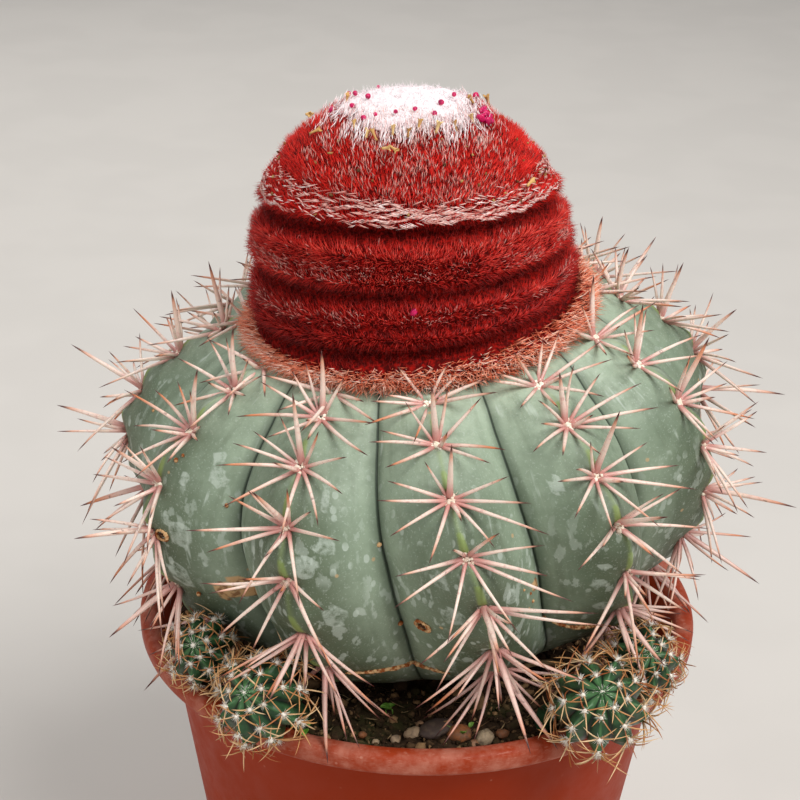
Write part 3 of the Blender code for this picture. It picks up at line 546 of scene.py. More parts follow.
def rib_azimuth(rib, angle):
    """Azimuth of a rib's crest at a latitude, on a parabola through its three values."""
    top, middle, foot = (RIBS[rib % len(RIBS)][..., i] for i in (1, 2, 3))
    high, low = LEVEL_ANGLES[0], RIB_FOOT_ANGLE
    u = np.maximum(angle, low)
    return (top * u * (u - low) / (high * (high - low)) + middle * (u - high) * (u - low) / (high * low)
            + foot * u * (u - high) / (low * (low - high)) + 360 * (rib // len(RIBS)))


def skin_angles(rib, across, level):
    """Latitude and azimuth of the skin, and how far the areoles' pattern holds there."""
    here, after = RIBS[rib % len(RIBS)][..., 0], RIBS[(rib + 1) % len(RIBS)][..., 0]
    held = smooth(-1, 0, level) * (1 - smooth(6.5, 8, level))
    angle = along(LEVEL_ANGLES, level + (here + (after - here) * smooth(0, 1, across)) * held + 1)
    azimuth = rib_azimuth(rib, angle) * (1 - across) + rib_azimuth(rib + 1, angle) * across
    return angle, azimuth, held


def skin_point(rib, across, level):
    """Points of the skin in the globe's own frame; across runs from a crest to the next."""
    rib, across, level = np.broadcast_arrays(rib, np.asarray(across, float), np.asarray(level, float))
    angle, azimuth, held = skin_angles(rib, across, level)
    height = np.where(angle > 0, UPPER_HEIGHT, LOWER_HEIGHT)
    off = 2 * np.minimum(across, 1 - across)
    crest = (1 - off ** RIB_CREST) ** RIB_FURROW
    depth = RIB_DEPTH * (1 - TOP_FADE[0] * smooth(*TOP_FADE[1:], angle))
    depth = depth * (1 - FOOT_FADE[0] * smooth(*FOOT_FADE[1:], -angle))
    u = np.radians(angle)
    point = polar(BODY_RADIUS * np.cos(u) * (1 - depth * (1 - crest)), azimuth, height * np.sin(u))
    swelling = np.sin(np.pi * level) ** 2 - HUMP_NOTCH
    rise = CREST_HUMP * swelling * np.maximum(0.0, 1 - off / HUMP_WIDTH) ** 2 * held
    point = point * (1 + rise / np.linalg.norm(point, axis=-1))[..., None]
    point[..., 0] += TOP_SHIFT * smooth(0, LEVEL_ANGLES[0], angle)
    return point


def body_world(point):
    """World places of points in the globe's own frame."""
    return BODY_CENTRE + point @ BODY_TURN.T


def on_skin(rib, across, level):
    """World place on the skin, with its outward, upward and sideways directions."""
    rib = np.array(rib)

    def surface(a, b):
        return body_world(skin_point(rib, a, b))
    upward = unit(surface(across, level - 1) - surface(across, level + 1))
    if across:
        sideways = unit(surface(across + 0.05, level) - surface(across - 0.05, level))
    else:
        azimuth = np.radians(skin_angles(rib, np.array(0.0), np.array(float(level)))[1])
        sideways = BODY_TURN @ np.array((np.cos(azimuth), np.sin(azimuth), 0.0))
    return surface(across, level), unit(np.cross(sideways, upward)), upward, sideways


def cephalium_leans(height):
    """Leans of the cap's bands to the right and to the back at a height."""
    part = np.asarray(height, float) / CROWN_HEIGHT
    return (np.interp(part, CEPHALIUM_LEANS[:, 0], CEPHALIUM_LEANS[:, 1]),
            np.interp(part, CEPHALIUM_LEANS[:, 0], CEPHALIUM_LEANS[:, 2]))


def cephalium_axis():
    """World points along the cap's axis, evenly spaced."""
    step = CROWN_HEIGHT / AXIS_STEPS
    _, to_back = cephalium_leans((np.arange(AXIS_STEPS) + 0.5) * step)
    moves = lean(np.full(AXIS_STEPS, AXIS_LEAN), to_back) @ np.array((0.0, 0.0, step))
    start = body_world(CEPHALIUM_BASE)
    return np.vstack([start, start + np.cumsum(moves, axis=0)])


AXIS = cephalium_axis()


def cephalium_point(height, radius, azimuth):
    """World points at a height along the cap's axis and a radius round it."""
    height, radius, azimuth = np.broadcast_arrays(height, radius, azimuth)
    position = np.clip(height / CROWN_HEIGHT, 0, 1) * AXIS_STEPS
    centre = np.stack([np.interp(position, np.arange(AXIS_STEPS + 1), AXIS[:, i]) for i in range(3)], axis=-1)
    flat = polar(radius, azimuth, 0.0)
    return centre + np.einsum('...ij,...j->...i', lean(*cephalium_leans(height)), flat)


def profile_curve(points, count):
    """Smooth curve through profile points, as heights and radii."""
    points = np.array(points)
    position = np.linspace(0, len(points) - 1, count)
    return along(points[:, 0], position), along(points[:, 1], position)


PROFILE_HEIGHTS, PROFILE_RADII = profile_curve(CEPHALIUM_PROFILE, 220)


def cap_radius(height, azimuth):
    """Radius of the fur's folds at a height and an azimuth."""
    sway = sum(rise * ripple(azimuth, turns, phase) for rise, turns, phase in FOLD_SWAYS)
    radius = np.interp(height, PROFILE_HEIGHTS, PROFILE_RADII)
    for middle, width, swell in CAP_FOLDS:
        radius = radius + swell * np.exp(-((height + sway - middle) / width) ** 2)
    right = np.maximum(ripple(azimuth), 0.0) ** 2
    radius = radius - FLAT_SIDE * right * smooth(*FLAT_FROM, height) * smooth(*FLAT_TO, height)
    return radius * (1 + 0.008 * np.sin(np.radians(3 * azimuth) + height))


def on_cephalium(height, azimuth, lift=0.0):
    """World places on the cap, with their outward, upward and sideways directions."""
    def surface(h, a):
        return cephalium_point(h, cap_radius(h, a), a)
    place = surface(height, azimuth)
    upward = unit(surface(height + 0.4, azimuth) - surface(height - 0.4, azimuth))
    sideways = unit(surface(height, azimuth + 0.5) - surface(height, azimuth - 0.5))
    outward = unit(np.cross(sideways, upward))
    return place + outward * lift, outward, upward, sideways


def waves(points, size, seed):
    """Smooth noise from -1 to 1 with features of the given size, at points."""
    rng = np.random.default_rng(seed)
    total = 0
    for _ in range(5):
        direction = unit(rng.normal(size=3)) * 2 * np.pi / size * rng.uniform(0.6, 1.6)
        total = total + np.sin(points @ direction + rng.uniform(0, 2 * np.pi))
    return total / 5


def wool_edge(azimuth):
    """Height on the cap at which the crown's wool starts."""
    lowest, rise, rise_right = WOOL_EDGE
    side = ripple(azimuth)
    return lowest + rise * side ** 2 + rise_right * side + 0.5 * ripple(azimuth, 7, 40)


# Meshes of these shapes.

# Profiles of strands, the first one tapering evenly: part of the length, part of the radius.
STRAIGHT = ((0.0, 1.0),)
BARK_PROFILE = ((0.0, 0.6), (0.3, 1.0), (0.7, 0.8))
BRAID_PROFILE = ((0.0, 0.5), (0.4, 1.0), (0.75, 0.8))
TUFT_PROFILE = ((0.0, 0.8), (0.5, 1.0))
FLUFF_PROFILE = ((0.0, 1.0), (0.5, 0.8))
STREAK_PROFILE = ((0.0, 1.0), (0.5, 0.85))


def strands(roots, directions, lengths, radii, bends=None, sides=3, profile=STRAIGHT, rng=None, **marks):
    """Tapered closed strands as one shape; the profile gives parts of the length and of the radius."""
    count, rings = len(roots), len(profile)
    lengths, radii = (np.broadcast_to(values, count)[:, None] for values in (lengths, radii))
    directions = unit(directions)
    bends = np.zeros_like(roots) if bends is None else bends
    helper = np.where(np.abs(directions[:, 2:]) < 0.9, (0.0, 0.0, 1.0), (1.0, 0.0, 0.0))
    across = unit(np.cross(directions, helper))
    up = np.cross(across, directions)
    phase = np.zeros(count) if rng is None else rng.uniform(0, 2 * np.pi, count)
    points, steps = [], []
    for t, factor in profile:
        centre = roots + (directions * t + bends * t * t) * lengths
        for side in range(sides):
            angle = (phase + 2 * np.pi * side / sides)[:, None]
            points.append(centre + radii * factor * (np.cos(angle) * across + np.sin(angle) * up))
            steps.append(t)
    points.append(roots + (directions + bends) * lengths)
    steps.append(1.0)
    size = rings * sides + 1
    quads = []
    for start in range(0, (rings - 1) * sides, sides):
        for j in range(sides):
            after = (j + 1) % sides
            quads.append((start + j, start + after, start + sides + after, start + sides + j))
    last = (rings - 1) * sides
    tips = [(last + j, last + (j + 1) % sides, size - 1) for j in range(sides)]
    cap = [tuple(reversed(range(sides)))]
    shift = (np.arange(count) * size)[:, None, None]
    groups = [np.array(group) for group in (quads, tips, cap) if group]
    faces = [(group[None] + shift).reshape(-1, group.shape[1]) for group in groups]
    values = {"along": np.tile(steps, count)}
    for name, value in marks.items():
        values[name] = np.repeat(np.broadcast_to(value, count), size)
    return {"points": np.stack(points, axis=1).reshape(-1, 3), "faces": faces, "marks": values}


def grid(points, **marks):
    """Closed sheet through rows of points, each row a ring, with a fan at each end."""
    rows, columns, _ = points.shape
    index = np.arange(rows * columns).reshape(rows, columns)
    after = np.roll(index, -1, axis=1)
    quads = np.stack([index[:-1], index[1:], after[1:], after[:-1]], axis=-1).reshape(-1, 4)
    first, last = rows * columns, rows * columns + 1
    fans = np.vstack([np.stack([index[0], after[0], np.full(columns, first)], axis=-1),
                      np.stack([after[-1], index[-1], np.full(columns, last)], axis=-1)])
    flat = np.vstack([points.reshape(-1, 3), points[0].mean(axis=0), points[-1].mean(axis=0)])
    values = {}
    for name, value in marks.items():
        value = np.broadcast_to(value, (rows, columns)).ravel()
        values[name] = np.append(value, (value[:columns].mean(), value[-columns:].mean()))
    return {"points": flat, "faces": [quads, fans], "marks": values}


def lumps(centres, sizes, seed, fineness=1, rough=0.2, stretch=(1.0, 1.0, 1.0), flat=None, **marks):
    """Irregular rounded chunks as one shape, turned at random or, with flat, lying down."""
    rng = np.random.default_rng(seed)
    ball_mesh = bmesh.new()
    bmesh.ops.create_icosphere(ball_mesh, subdivisions=fineness, radius=1.0)
    ball_mesh.verts.index_update()
    ball = np.array([vertex.co for vertex in ball_mesh.verts])
    triangles = np.array([[vertex.index for vertex in face.verts] for face in ball_mesh.faces])
    ball_mesh.free()
    count = len(centres)
    sizes = np.broadcast_to(sizes, count)
    axes = np.linalg.qr(rng.normal(size=(count, 3, 3)))[0]
    axes = axes * np.linalg.det(axes)[:, None, None]
    shape = ball[None] * np.asarray(stretch) * (1 + rough * rng.uniform(-1, 1, (count, 1, 3)))
    shape = shape * (1 + rough * rng.uniform(-1, 1, (count, len(ball), 1)))
    points = np.einsum('nij,nkj->nki', axes, shape) * sizes[:, None, None]
    if flat is not None:
        points[..., 2] *= np.asarray(flat)[:, None]
    points = points + np.asarray(centres)[:, None]
    shift = (np.arange(count) * len(ball))[:, None, None]
    values = {name: np.repeat(np.broadcast_to(value, count), len(ball)) for name, value in marks.items()}
    faces = [(triangles[None] + shift).reshape(-1, 3)]
    return {"points": points.reshape(-1, 3), "faces": faces, "marks": values}


def tube(route, radii, sides=10, **marks):
    """Closed tube along a route."""
    route = np.asarray(route, float)
    tangents = unit(np.gradient(route, axis=0))
    a = unit(np.cross(tangents, (0.13, 0.95, 0.28)))
    b = np.cross(tangents, a)
    angle = np.linspace(0, 2 * np.pi, sides, endpoint=False)[None, :, None]
    rings = np.cos(angle) * a[:, None] + np.sin(angle) * b[:, None]
    return grid(route[:, None] + rings * np.broadcast_to(radii, len(route))[:, None, None], **marks)


def merged(shapes):
    """One shape from several; marks that a shape lacks are 0 there."""
    names = sorted({name for shape in shapes for name in shape["marks"]})
    faces, start = [], 0
    for shape in shapes:
        faces += [group + start for group in shape["faces"]]
        start += len(shape["points"])
    points = np.vstack([shape["points"] for shape in shapes])
    marks = {}
    for name in names:
        rows = [shape["marks"].get(name, np.zeros(len(shape["points"]))) for shape in shapes]
        marks[name] = np.concatenate(rows)
    return {"points": points, "faces": faces, "marks": marks}


def add_piece(name, shape, material, slot, *nodes):
    """Object from a shape that rides on the plant's body and may replace solids."""
    mesh = bpy.data.meshes.new(name)
    loops = np.concatenate([group.ravel() for group in shape["faces"]])
    totals = np.concatenate([np.full(len(group), group.shape[1]) for group in shape["faces"]])
    mesh.vertices.add(len(shape["points"]))
    mesh.vertices.foreach_set("co", (shape["points"] * MM).astype(np.float32).ravel())
    mesh.loops.add(len(loops))
    mesh.loops.foreach_set("vertex_index", loops.astype(np.int32))
    mesh.polygons.add(len(totals))
    mesh.polygons.foreach_set("loop_start", (np.cumsum(totals) - totals).astype(np.int32))
    mesh.update(calc_edges=True)
    if mesh.validate():
        raise RuntimeError(f"{name} has faulty faces")
    for label, values in shape["marks"].items():
        layer = mesh.attributes.new(label, 'FLOAT', 'POINT')
        layer.data.foreach_set("value", np.asarray(values, np.float32))
    mesh.shade_smooth()
    mesh.materials.append(material)
    piece = bpy.data.objects.new(name, mesh)
    bpy.context.scene.collection.objects.link(piece)
    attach(piece, "root")
    if nodes:
        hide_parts(*nodes)
    return piece


# Materials.


def add_node(tree, kind, inputs, output=0, **settings):
    """Add a node with its settings and links, and give one of its outputs."""
    made = tree.nodes.new("ShaderNode" + kind)
    for name, value in settings.items():
        setattr(made, name, value)
    for socket, value in inputs.items():
        if isinstance(value, bpy.types.NodeSocket):
            tree.links.new(value, made.inputs[socket])
        else:
            made.inputs[socket].default_value = value
    return made.outputs[output]


def start_material(name, roughness, ior, **inputs):
    """Material with its settings, and its node tree."""
    material = bpy.data.materials.new(name)
    material.use_nodes = True
    shader = material.node_tree.nodes["Principled BSDF"]
    for socket, value in {"Roughness": roughness, "IOR": ior, **inputs}.items():
        shader.inputs[socket.replace("_", " ")].default_value = value
    return material, material.node_tree


def pattern(tree, size_mm, stretch=(1.0, 1.0, 1.0), place=None, kind='TexNoise', **inputs):
    """Texture with features of a real size, on the object or on a given place."""
    place = place or add_node(tree, 'TexCoord', {}, 3)
    place = add_node(tree, 'Mapping', {"Scale": stretch, "Vector": place})
    return add_node(tree, kind, {"Scale": 1 / (size_mm * MM), "Vector": place, **inputs})


def coated(tree, base, *coats):
    """Colour of a base under coats, each a colour and the soft edges that bound it.

    An edge is a pattern or a mark of the mesh, its values where the coat starts and where it is full, and,
    where that isn't 1, how much the full coat covers.
    """
    for colour, *edges in coats:
        cover = 1.0
        for source, start, full, *most in edges:
            if isinstance(source, str):
                source = add_node(tree, 'Attribute', {}, 2, attribute_name=source)
            limits = {1: start, 2: full, 3: 0.0, 4: most[0] if most else 1.0}
            edge = add_node(tree, 'MapRange', {0: source, **limits}, interpolation_type='SMOOTHSTEP')
            cover = add_node(tree, 'Math', {0: cover, 1: edge}, operation='MULTIPLY')
        base = add_node(tree, 'Mix', {0: cover, 6: base, 7: colour}, 2, data_type='RGBA')
    return base


def by_tint(tree, colours):
    """Colour of each strand or stone: its own tint along an even row of colours."""
    ramp = add_node(tree, 'ValToRGB', {"Fac": add_node(tree, 'Attribute', {}, 2, attribute_name="tint")})
    stops = ramp.node.color_ramp.elements
    while len(stops) < len(colours):
        stops.new(0.5)
    for i, colour in enumerate(colours):
        stops[i].position = i / (len(colours) - 1)
        stops[i].color = colour
    return ramp


def finished(material, colour, relief=None, relief_mm=0.0, strength=1.0, roughness=None):
    """The material with a colour, a relief of a real depth and a roughness joined to its shader."""
    tree = material.node_tree
    shader = tree.nodes["Principled BSDF"]
    tree.links.new(colour, shader.inputs["Base Color"])
    if roughness is not None:
        tree.links.new(roughness, shader.inputs["Roughness"])
    if relief is not None:
        normal = add_node(tree, 'Bump', {"Strength": strength, "Distance": relief_mm * MM, "Height": relief})
        tree.links.new(normal, shader.inputs["Normal"])
    return material


def waxy_epidermis(body):
    """Skin of the globe.

    Living epidermis under a rubbed wax bloom: a dull grey-green that is lighter beside the furrows and
    darker with age, with pale scratches down the ribs, dried water drops and a few corky spots. The furrows
    are painted dark as shade.
    """
    material, tree = start_material("waxy_epidermis", 0.48, 1.45, Specular_IOR_Level=0.35)
    down = add_node(tree, 'CombineXYZ', {0: add_node(tree, 'Attribute', {}, 2, attribute_name="run_across"),
                                         1: add_node(tree, 'Attribute', {}, 2, attribute_name="run_down")})
    cloud = pattern(tree, 16.0, Detail=3.0)
    fine = pattern(tree, 2.2, Detail=5.0, Roughness=0.7)
    colour = coated(
        tree, body.bloom_colour,
        (body.skin_colour, ("level", 0.0, 2.4), (cloud, -0.25, 0.95)),
        (body.skin_colour, (fine, 0.3, 0.8, 0.4)),
        (body.old_skin_colour, ("level", 0.9, 4.6, 0.85), ("off", 0.85, 0.25)),
        (body.old_skin_colour, ("level", 4.6, 6.6, 0.8)),
        (body.bloom_colour, ("off", 0.5, 0.9, 0.25)),
        # Bloom rubbed off in lines 0.5 mm wide that run down the ribs.
        (body.old_skin_colour, (pattern(tree, 3.6, (1.0, 0.12, 1.0), down, Detail=3.0), 0.5, 0.72, 0.35)),
        (body.water_mark_colour, (pattern(tree, 1.5, (1.0, 0.1, 1.0), down, Detail=2.0), 0.6, 0.72, 0.5),
         (pattern(tree, 11.0), 0.48, 0.62)),
        # Specks of about 0.3 mm, drawn 0.45 mm wide so that they show.
        (body.water_mark_colour, (pattern(tree, 0.45, Detail=1.0), 0.6, 0.72, 0.2)),
        # Dried drops, 1 to 3 mm.
        (body.water_mark_colour, (pattern(tree, 2.6, (1.0, 1.0, 0.7), None, 'TexVoronoi'), 0.3, 0.22, 0.5),
         (pattern(tree, 7.0), 0.5, 0.6), ("level", 1.0, 3.6)),
        (body.water_mark_colour, (pattern(tree, 2.6, (1.0, 1.0, 0.55), None, Detail=5.0), 0.575, 0.63, 0.42),
         (cloud, 0.35, 0.5), ("level", 1.8, 4.2)),
        (body.water_mark_colour, ("water", 0.3, 0.6, 0.45), (fine, 0.68, 0.42)),
        (body.crest_colour, ("strip", 0.15, 0.7, 0.7)),
        (body.cork_colour, (pattern(tree, 9.0, kind='TexVoronoi'), 0.06, 0.035, 0.6)),
        # Painted shade along the furrows: a soft dark band each side and a dark line in the crease.
        (body.furrow_shade_colour, ("off", 0.84, 0.98, 0.32)),
        (body.furrow_shade_colour, ("off", 0.966, 0.994, 0.85)),
        (body.cork_colour, ("cork", 0.2, 0.6), (fine, 0.2, 0.45)),
        (srgb("6a3819"), ("cork", 0.1, 0.35), (pattern(tree, 1.6, Detail=4.0), 0.46, 0.62, 0.7)),
    )
    # Duller where the bloom is rubbed.
    dull = add_node(tree, 'MapRange', {0: fine, 1: 0.3, 2: 0.7, 3: 0.4, 4: 0.62})
    return finished(material, colour, pattern(tree, 1.1, Detail=5.0), 0.15, 0.5, dull)


def horny_spine(body):
    """Spines.

    Horn grown from the base: rosy and thick there, cream with pink fibres in the middle, an amber flush,
    and a dark dry tip. Old ones are duskier. It has a silky gloss and lets a little light in.
    """
    material, tree = start_material("horny_spine", 0.4, 1.54, Subsurface_Weight=0.1,
                                    Subsurface_Scale=MM, Subsurface_Radius=(1.2, 0.6, 0.4))
    fibres = pattern(tree, 0.9, Detail=3.0)
    colour = coated(
        tree, body.spine_colour,
        (body.spine_base_colour, ("along", 0.4, 0.05)),
        (body.spine_base_colour, (fibres, 0.5, 0.74, 0.5)),
        (body.spine_base_colour, ("age", 0.6, 1.0, 0.55)),
        (body.spine_amber_colour, ("along", 0.25, 0.8), ("tint", 0.7, 1.0, 0.9)),
        (body.spine_amber_colour, ("along", 0.58, 0.84, 0.62)),
        (body.spine_tip_colour, ("along", 0.78, 0.92)),
        (body.spine_tip_colour, (pattern(tree, 1.7, Detail=2.0), 0.68, 0.74, 0.5)),
    )
    return finished(material, colour, fibres, 0.05, 0.5)


def plant_fibre(name, colours, roughness=0.6, specular=0.3, sheen=0.0, root_shade=0.5):
    """Hair, bristle or wool.

    Dead plant fibre, dull and soft. Each strand has its own tone from the row of colours, and its root is
    painted darker, as shade deep in the coat, which gives the coat its depth.
    """
    material, tree = start_material(name, roughness, 1.5, Specular_IOR_Level=specular,
                                    Sheen_Weight=sheen)
    # Painted shade: each strand darkens towards its root, deep in the coat.
    in_shade = (shaded(colours[0], 0.3), ("along", 0.6, 0.0, root_shade))
    return finished(material, coated(tree, by_tint(tree, colours), in_shade))


def moulded_polypropylene(pot):
    """Pot.

    Injection-moulded terracotta-coloured polypropylene: evenly matt with a faint orange-peel, and on the
    rim a chalky film of lime with rubbed places and fine scratches.
    """
    material, tree = start_material("moulded_polypropylene", 0.5, 1.49, Specular_IOR_Level=0.1)
    film = pattern(tree, 6.0, Detail=6.0, Roughness=0.65)
    scratch = pattern(tree, 1.6, (1.0, 1.0, 6.0), Detail=3.0)
    on_rim = ("rim", 0.0, 1.0)
    colour = coated(
        tree, pot.wall_colour,
        (srgb("7c2405"), (pattern(tree, 45.0, Detail=2.0), 0.35, 0.75, 0.4)),
        (pot.rim_colour, on_rim),
        (pot.lime_colour, (film, 0.38, 0.72, 0.25 + pot.lime_amount), on_rim),
        (pot.lime_colour, (scratch, 0.58, 0.7, pot.lime_amount), on_rim),
        (pot.wall_colour, ("inside", 0.0, 1.0, 0.7)),
        # Splashes 0.4 mm across.
        (pot.lime_colour, (pattern(tree, 3.6, kind='TexVoronoi'), 0.12, 0.07, 0.4),
         (pattern(tree, 18.0), 0.5, 0.6)),
    )
    # Duller under the film.
    dull = add_node(tree, 'MapRange', {0: film, 1: 0.35, 2: 0.7, 3: 0.42, 4: 0.62})
    # Orange-peel of the mould, 0.5 mm, drawn 0.7 mm.
    return finished(material, colour, pattern(tree, 0.7, Detail=2.0), 0.03, 0.4, dull)


def peaty_soil(pot):
    """Soil.

    Damp peat with bark and sand: nearly black where it is wet, brown where crumbs have dried, and green with
    algae in places. It has no gloss.
    """
    material, tree = start_material("peaty_potting_soil", 0.95, 1.4, Specular_IOR_Level=0.2)
    colour = coated(
        tree, pot.soil_colour,
        (srgb("4b3727"), (pattern(tree, 1.3, Detail=6.0, Roughness=0.7), 0.45, 0.68)),
        (pot.moss_colour, (pattern(tree, 9.0, Detail=4.0), 0.5, 0.66, 0.5)),
        (pot.crumb_colour, ("tint", 0.2, 0.9)),
        (srgb("a98f6c"), (pattern(tree, 0.8, Detail=2.0), 0.7, 0.76, 0.6)),
    )
    return finished(material, colour, pattern(tree, 0.9, Detail=6.0), 0.35, 0.9)


def worn_gravel():
    """Pebbles.

    Water-worn quartz, sandstone and slate: matt and slightly grainy, each of its own tone.
    """
    material, tree = start_material("worn_gravel", 0.7, 1.54)
    colour = coated(
        tree, by_tint(tree, (srgb("453c38"), srgb("93582f"), srgb("b29c7e"))),
        (srgb("6a5847"), (pattern(tree, 1.2, Detail=5.0), 0.45, 0.65, 0.55)),
        (srgb("2f241b"), (pattern(tree, 2.6, Detail=4.0), 0.55, 0.7, 0.6)),
    )
    return finished(material, colour, pattern(tree, 0.9, Detail=5.0), 0.12, 0.8)


def young_epidermis(offset):
    """Skin of the offsets.

    Young epidermis without bloom: deep green and slightly glossy, with paler lines down its ribs and nearly
    black painted shade in its furrows.
    """
    material, tree = start_material("young_epidermis", 0.4, 1.45, Specular_IOR_Level=0.4)
    colour = coated(
        tree, offset.skin_colour,
        (srgb("3f6b40"), (pattern(tree, 3.5, Detail=4.0), 0.42, 0.68, 0.55)),
        (offset.crest_colour, ("off", 0.2, 0.0, 0.65)),
        (offset.crest_colour, ("top", 0.6, 1.0, 0.7)),
        # Painted shade: nearly black towards the bottom of each furrow.
        (offset.furrow_shade_colour, ("off", 0.55, 0.97, 0.95)),
    )
    return finished(material, colour, pattern(tree, 0.7, Detail=3.0), 0.06, 0.5)


def green_leaf():
    """Seedling leaves: thin living blades, bright green and a little translucent, with a soft gloss."""
    material, tree = start_material("seedling_leaf", 0.45, 1.42, Subsurface_Weight=0.2,
                                    Subsurface_Scale=MM, Subsurface_Radius=(0.6, 1.0, 0.3))
    colour = coated(tree, srgb("5d8f2e"), (srgb("86b552"), (pattern(tree, 1.0, Detail=3.0), 0.4, 0.65)))
    return finished(material, colour, pattern(tree, 0.6, Detail=2.0), 0.05, 0.6)


def cracked_cork(body):
    """Scars: dead cork that is dry, rough and cracked, tan on its ridges and rusty brown in its cracks."""
    material, tree = start_material("cracked_cork", 0.85, 1.45, Specular_IOR_Level=0.2)
    colour = coated(
        tree, body.cork_colour,
        (srgb("8a4a22"), (pattern(tree, 1.1, Detail=5.0), 0.4, 0.6)),
        (srgb("2a170d"), ("tint", 0.5, 1.0)),
    )
    return finished(material, colour, pattern(tree, 0.7, Detail=5.0), 0.15, 0.8)


def berry_skin(look):
    """Fruit tips: a taut wet-looking skin, deep magenta, that lets light in."""
    material, tree = start_material("berry_skin", 0.32, 1.42, Subsurface_Weight=0.15,
                                    Subsurface_Scale=MM, Subsurface_Radius=(2.0, 0.5, 0.8))
    colour = coated(tree, look.fruit_colour, (srgb("7d0a3c"), (pattern(tree, 1.2), 0.45, 0.65, 0.7)))
    return finished(material, colour, pattern(tree, 0.5), 0.03, 0.5)


def matted_felt(look):
    """Under the bristles: matted dead wool and bristle bases, dark red and without gloss; its near-black red
    is partly painted shade deep among the bristles.
    """
    material, tree = start_material("matted_felt", 0.95, 1.5, Specular_IOR_Level=0.1)
    colour = coated(
        tree, look.felt_and_shade_colour,
        (look.old_bristle_colour, (pattern(tree, 0.9, Detail=3.0), 0.4, 0.7, 0.5)),
        (srgb("1e0403"), (pattern(tree, 5.0, Detail=3.0), 0.5, 0.7, 0.5)),
    )
    return finished(material, colour, pattern(tree, 0.6, Detail=3.0), 0.2, 1.0)


# What the spines keep clear of.


def clear(points, margin):
    """Whether points stay off the pot, the soil, the cap and the offsets."""
    radius = np.hypot(points[:, 0], points[:, 1])
    inside = radius < WALL_TOP_RADIUS
    if np.any(inside & (points[:, 2] < SOIL_LEVEL + SOIL_BUMPS + margin)):
        return False
    if np.any(~inside & (radius < RIM_RADIUS + margin) & (points[:, 2] < POT_HEIGHT + margin)):
        return False
    local = (points - BODY_CENTRE) @ BODY_TURN - SKIRT_CENTRE
    nearest = np.linalg.norm(points[:, None] - AXIS[None], axis=-1).min(axis=1)
    reach = np.minimum(nearest, np.hypot(local[:, 0], local[:, 1]))
    if np.any((local[:, 2] > -margin) & (reach < SKIRT_RADIUS - SKIRT_GIVE + margin)):
        return False
    return all(np.all(np.linalg.norm(points - centre, axis=1) > size + margin)
               for centre, size, _, _ in OFFSETS.values())


def freed(root, direction, size, outward, margin):
    """Direction and length of a spine, turned outward and then shortened until it is clear."""
    steps = np.linspace(0.15, 1.0, 12)[:, None]
    for shortening in SPINE_SHORTENINGS:
        for turn in range(SPINE_TURNS):
            aim = unit(direction * (1 - SPINE_TURN * turn) + outward * SPINE_TURN * turn)
            if clear(root + aim * size * shortening * steps, margin):
                return aim, size * shortening
    return None


def has_room(points):
    """Whether points on an offset stay out of the globe, the pot's rim and the soil."""
    local = (points - BODY_CENTRE) @ BODY_TURN
    height = np.where(local[:, 2] > 0, UPPER_HEIGHT, LOWER_HEIGHT)
    across = (local[:, 0] ** 2 + local[:, 1] ** 2) / GLOBE_KEEP_OUT ** 2
    in_globe = across + (local[:, 2] / height) ** 2 <= 1
    radius = np.hypot(points[:, 0], points[:, 1])
    mouth = LIP_RADIUS - WALL
    on_rim = (radius > mouth) & (radius < RIM_RADIUS + RIM_GAP) & (points[:, 2] < POT_HEIGHT + RIM_GAP)
    in_soil = (radius <= mouth) & (points[:, 2] < SOIL_LEVEL + SOIL_GAP)
    return not np.any(in_globe | on_rim | in_soil)


# The operators, one for each group of pieces.


def lay_floor(stage, scene):
    """Square of matt paper just under the pot."""
    reach = FLOOR_REACH
    sides = ((-reach, -reach), (reach, -reach), (reach, reach), (-reach, reach))
    mesh = bpy.data.meshes.new("floor")
    mesh.from_pydata([(*side, -FLOOR_GAP) for side in sides], [], [(0, 1, 2, 3)])
    floor = bpy.data.objects.new("floor", mesh)
    scene.collection.objects.link(floor)
    # Matt paper: even and without gloss.
    material, tree = start_material("matt_paper", 0.9, 1.45, Specular_IOR_Level=0.2)
    mottled = shaded(stage.floor_colour, 0.975)
    colour = coated(tree, stage.floor_colour, (mottled, (pattern(tree, 60.0), 0.4, 0.6)))
    mesh.materials.append(finished(material, colour))


def hang_lights(stage, scene):
    """Three soft lights and a pale sky."""
    world = bpy.data.worlds.new("studio")
    world.use_nodes = True
    sky = world.node_tree.nodes["Background"]
    sky.inputs["Color"].default_value = SKY_COLOUR
    sky.inputs["Strength"].default_value = SKY_STRENGTH
    scene.world = world
    for name, place, width, part in LIGHTS:
        light = bpy.data.lights.new(name, 'AREA')
        light.size = width
        light.energy = stage.light * part
        lamp = bpy.data.objects.new(name, light)
        lamp.location = place
        lamp.rotation_mode = 'QUATERNION'
        lamp.rotation_quaternion = (Vector(LIGHT_TARGET) - Vector(place)).to_track_quat('-Z', 'Y')
        scene.collection.objects.link(lamp)


def place_camera(stage, scene):
    """Camera that looks down on the plant from the front."""
    data = bpy.data.cameras.new("camera")
    data.sensor_width = SENSOR_WIDTH
    data.lens = stage.lens
    data.clip_start, data.clip_end = CLIPPING
    camera = bpy.data.objects.new("camera", data)
    back = Vector((0, -math.cos(stage.pitch), math.sin(stage.pitch)))
    right = (-back).cross(Vector((0, 0, 1))).normalized()
    up = right.cross(-back)
    tilted = right * math.cos(stage.roll) + up * math.sin(stage.roll)
    upright = up * math.cos(stage.roll) - right * math.sin(stage.roll)
    placed = Matrix((tilted, upright, back)).transposed().to_4x4()
    placed.translation = Vector(VIEW_CENTRE) * MM + back * stage.distance
    camera.matrix_world = placed
    scene.collection.objects.link(camera)
    scene.camera = camera


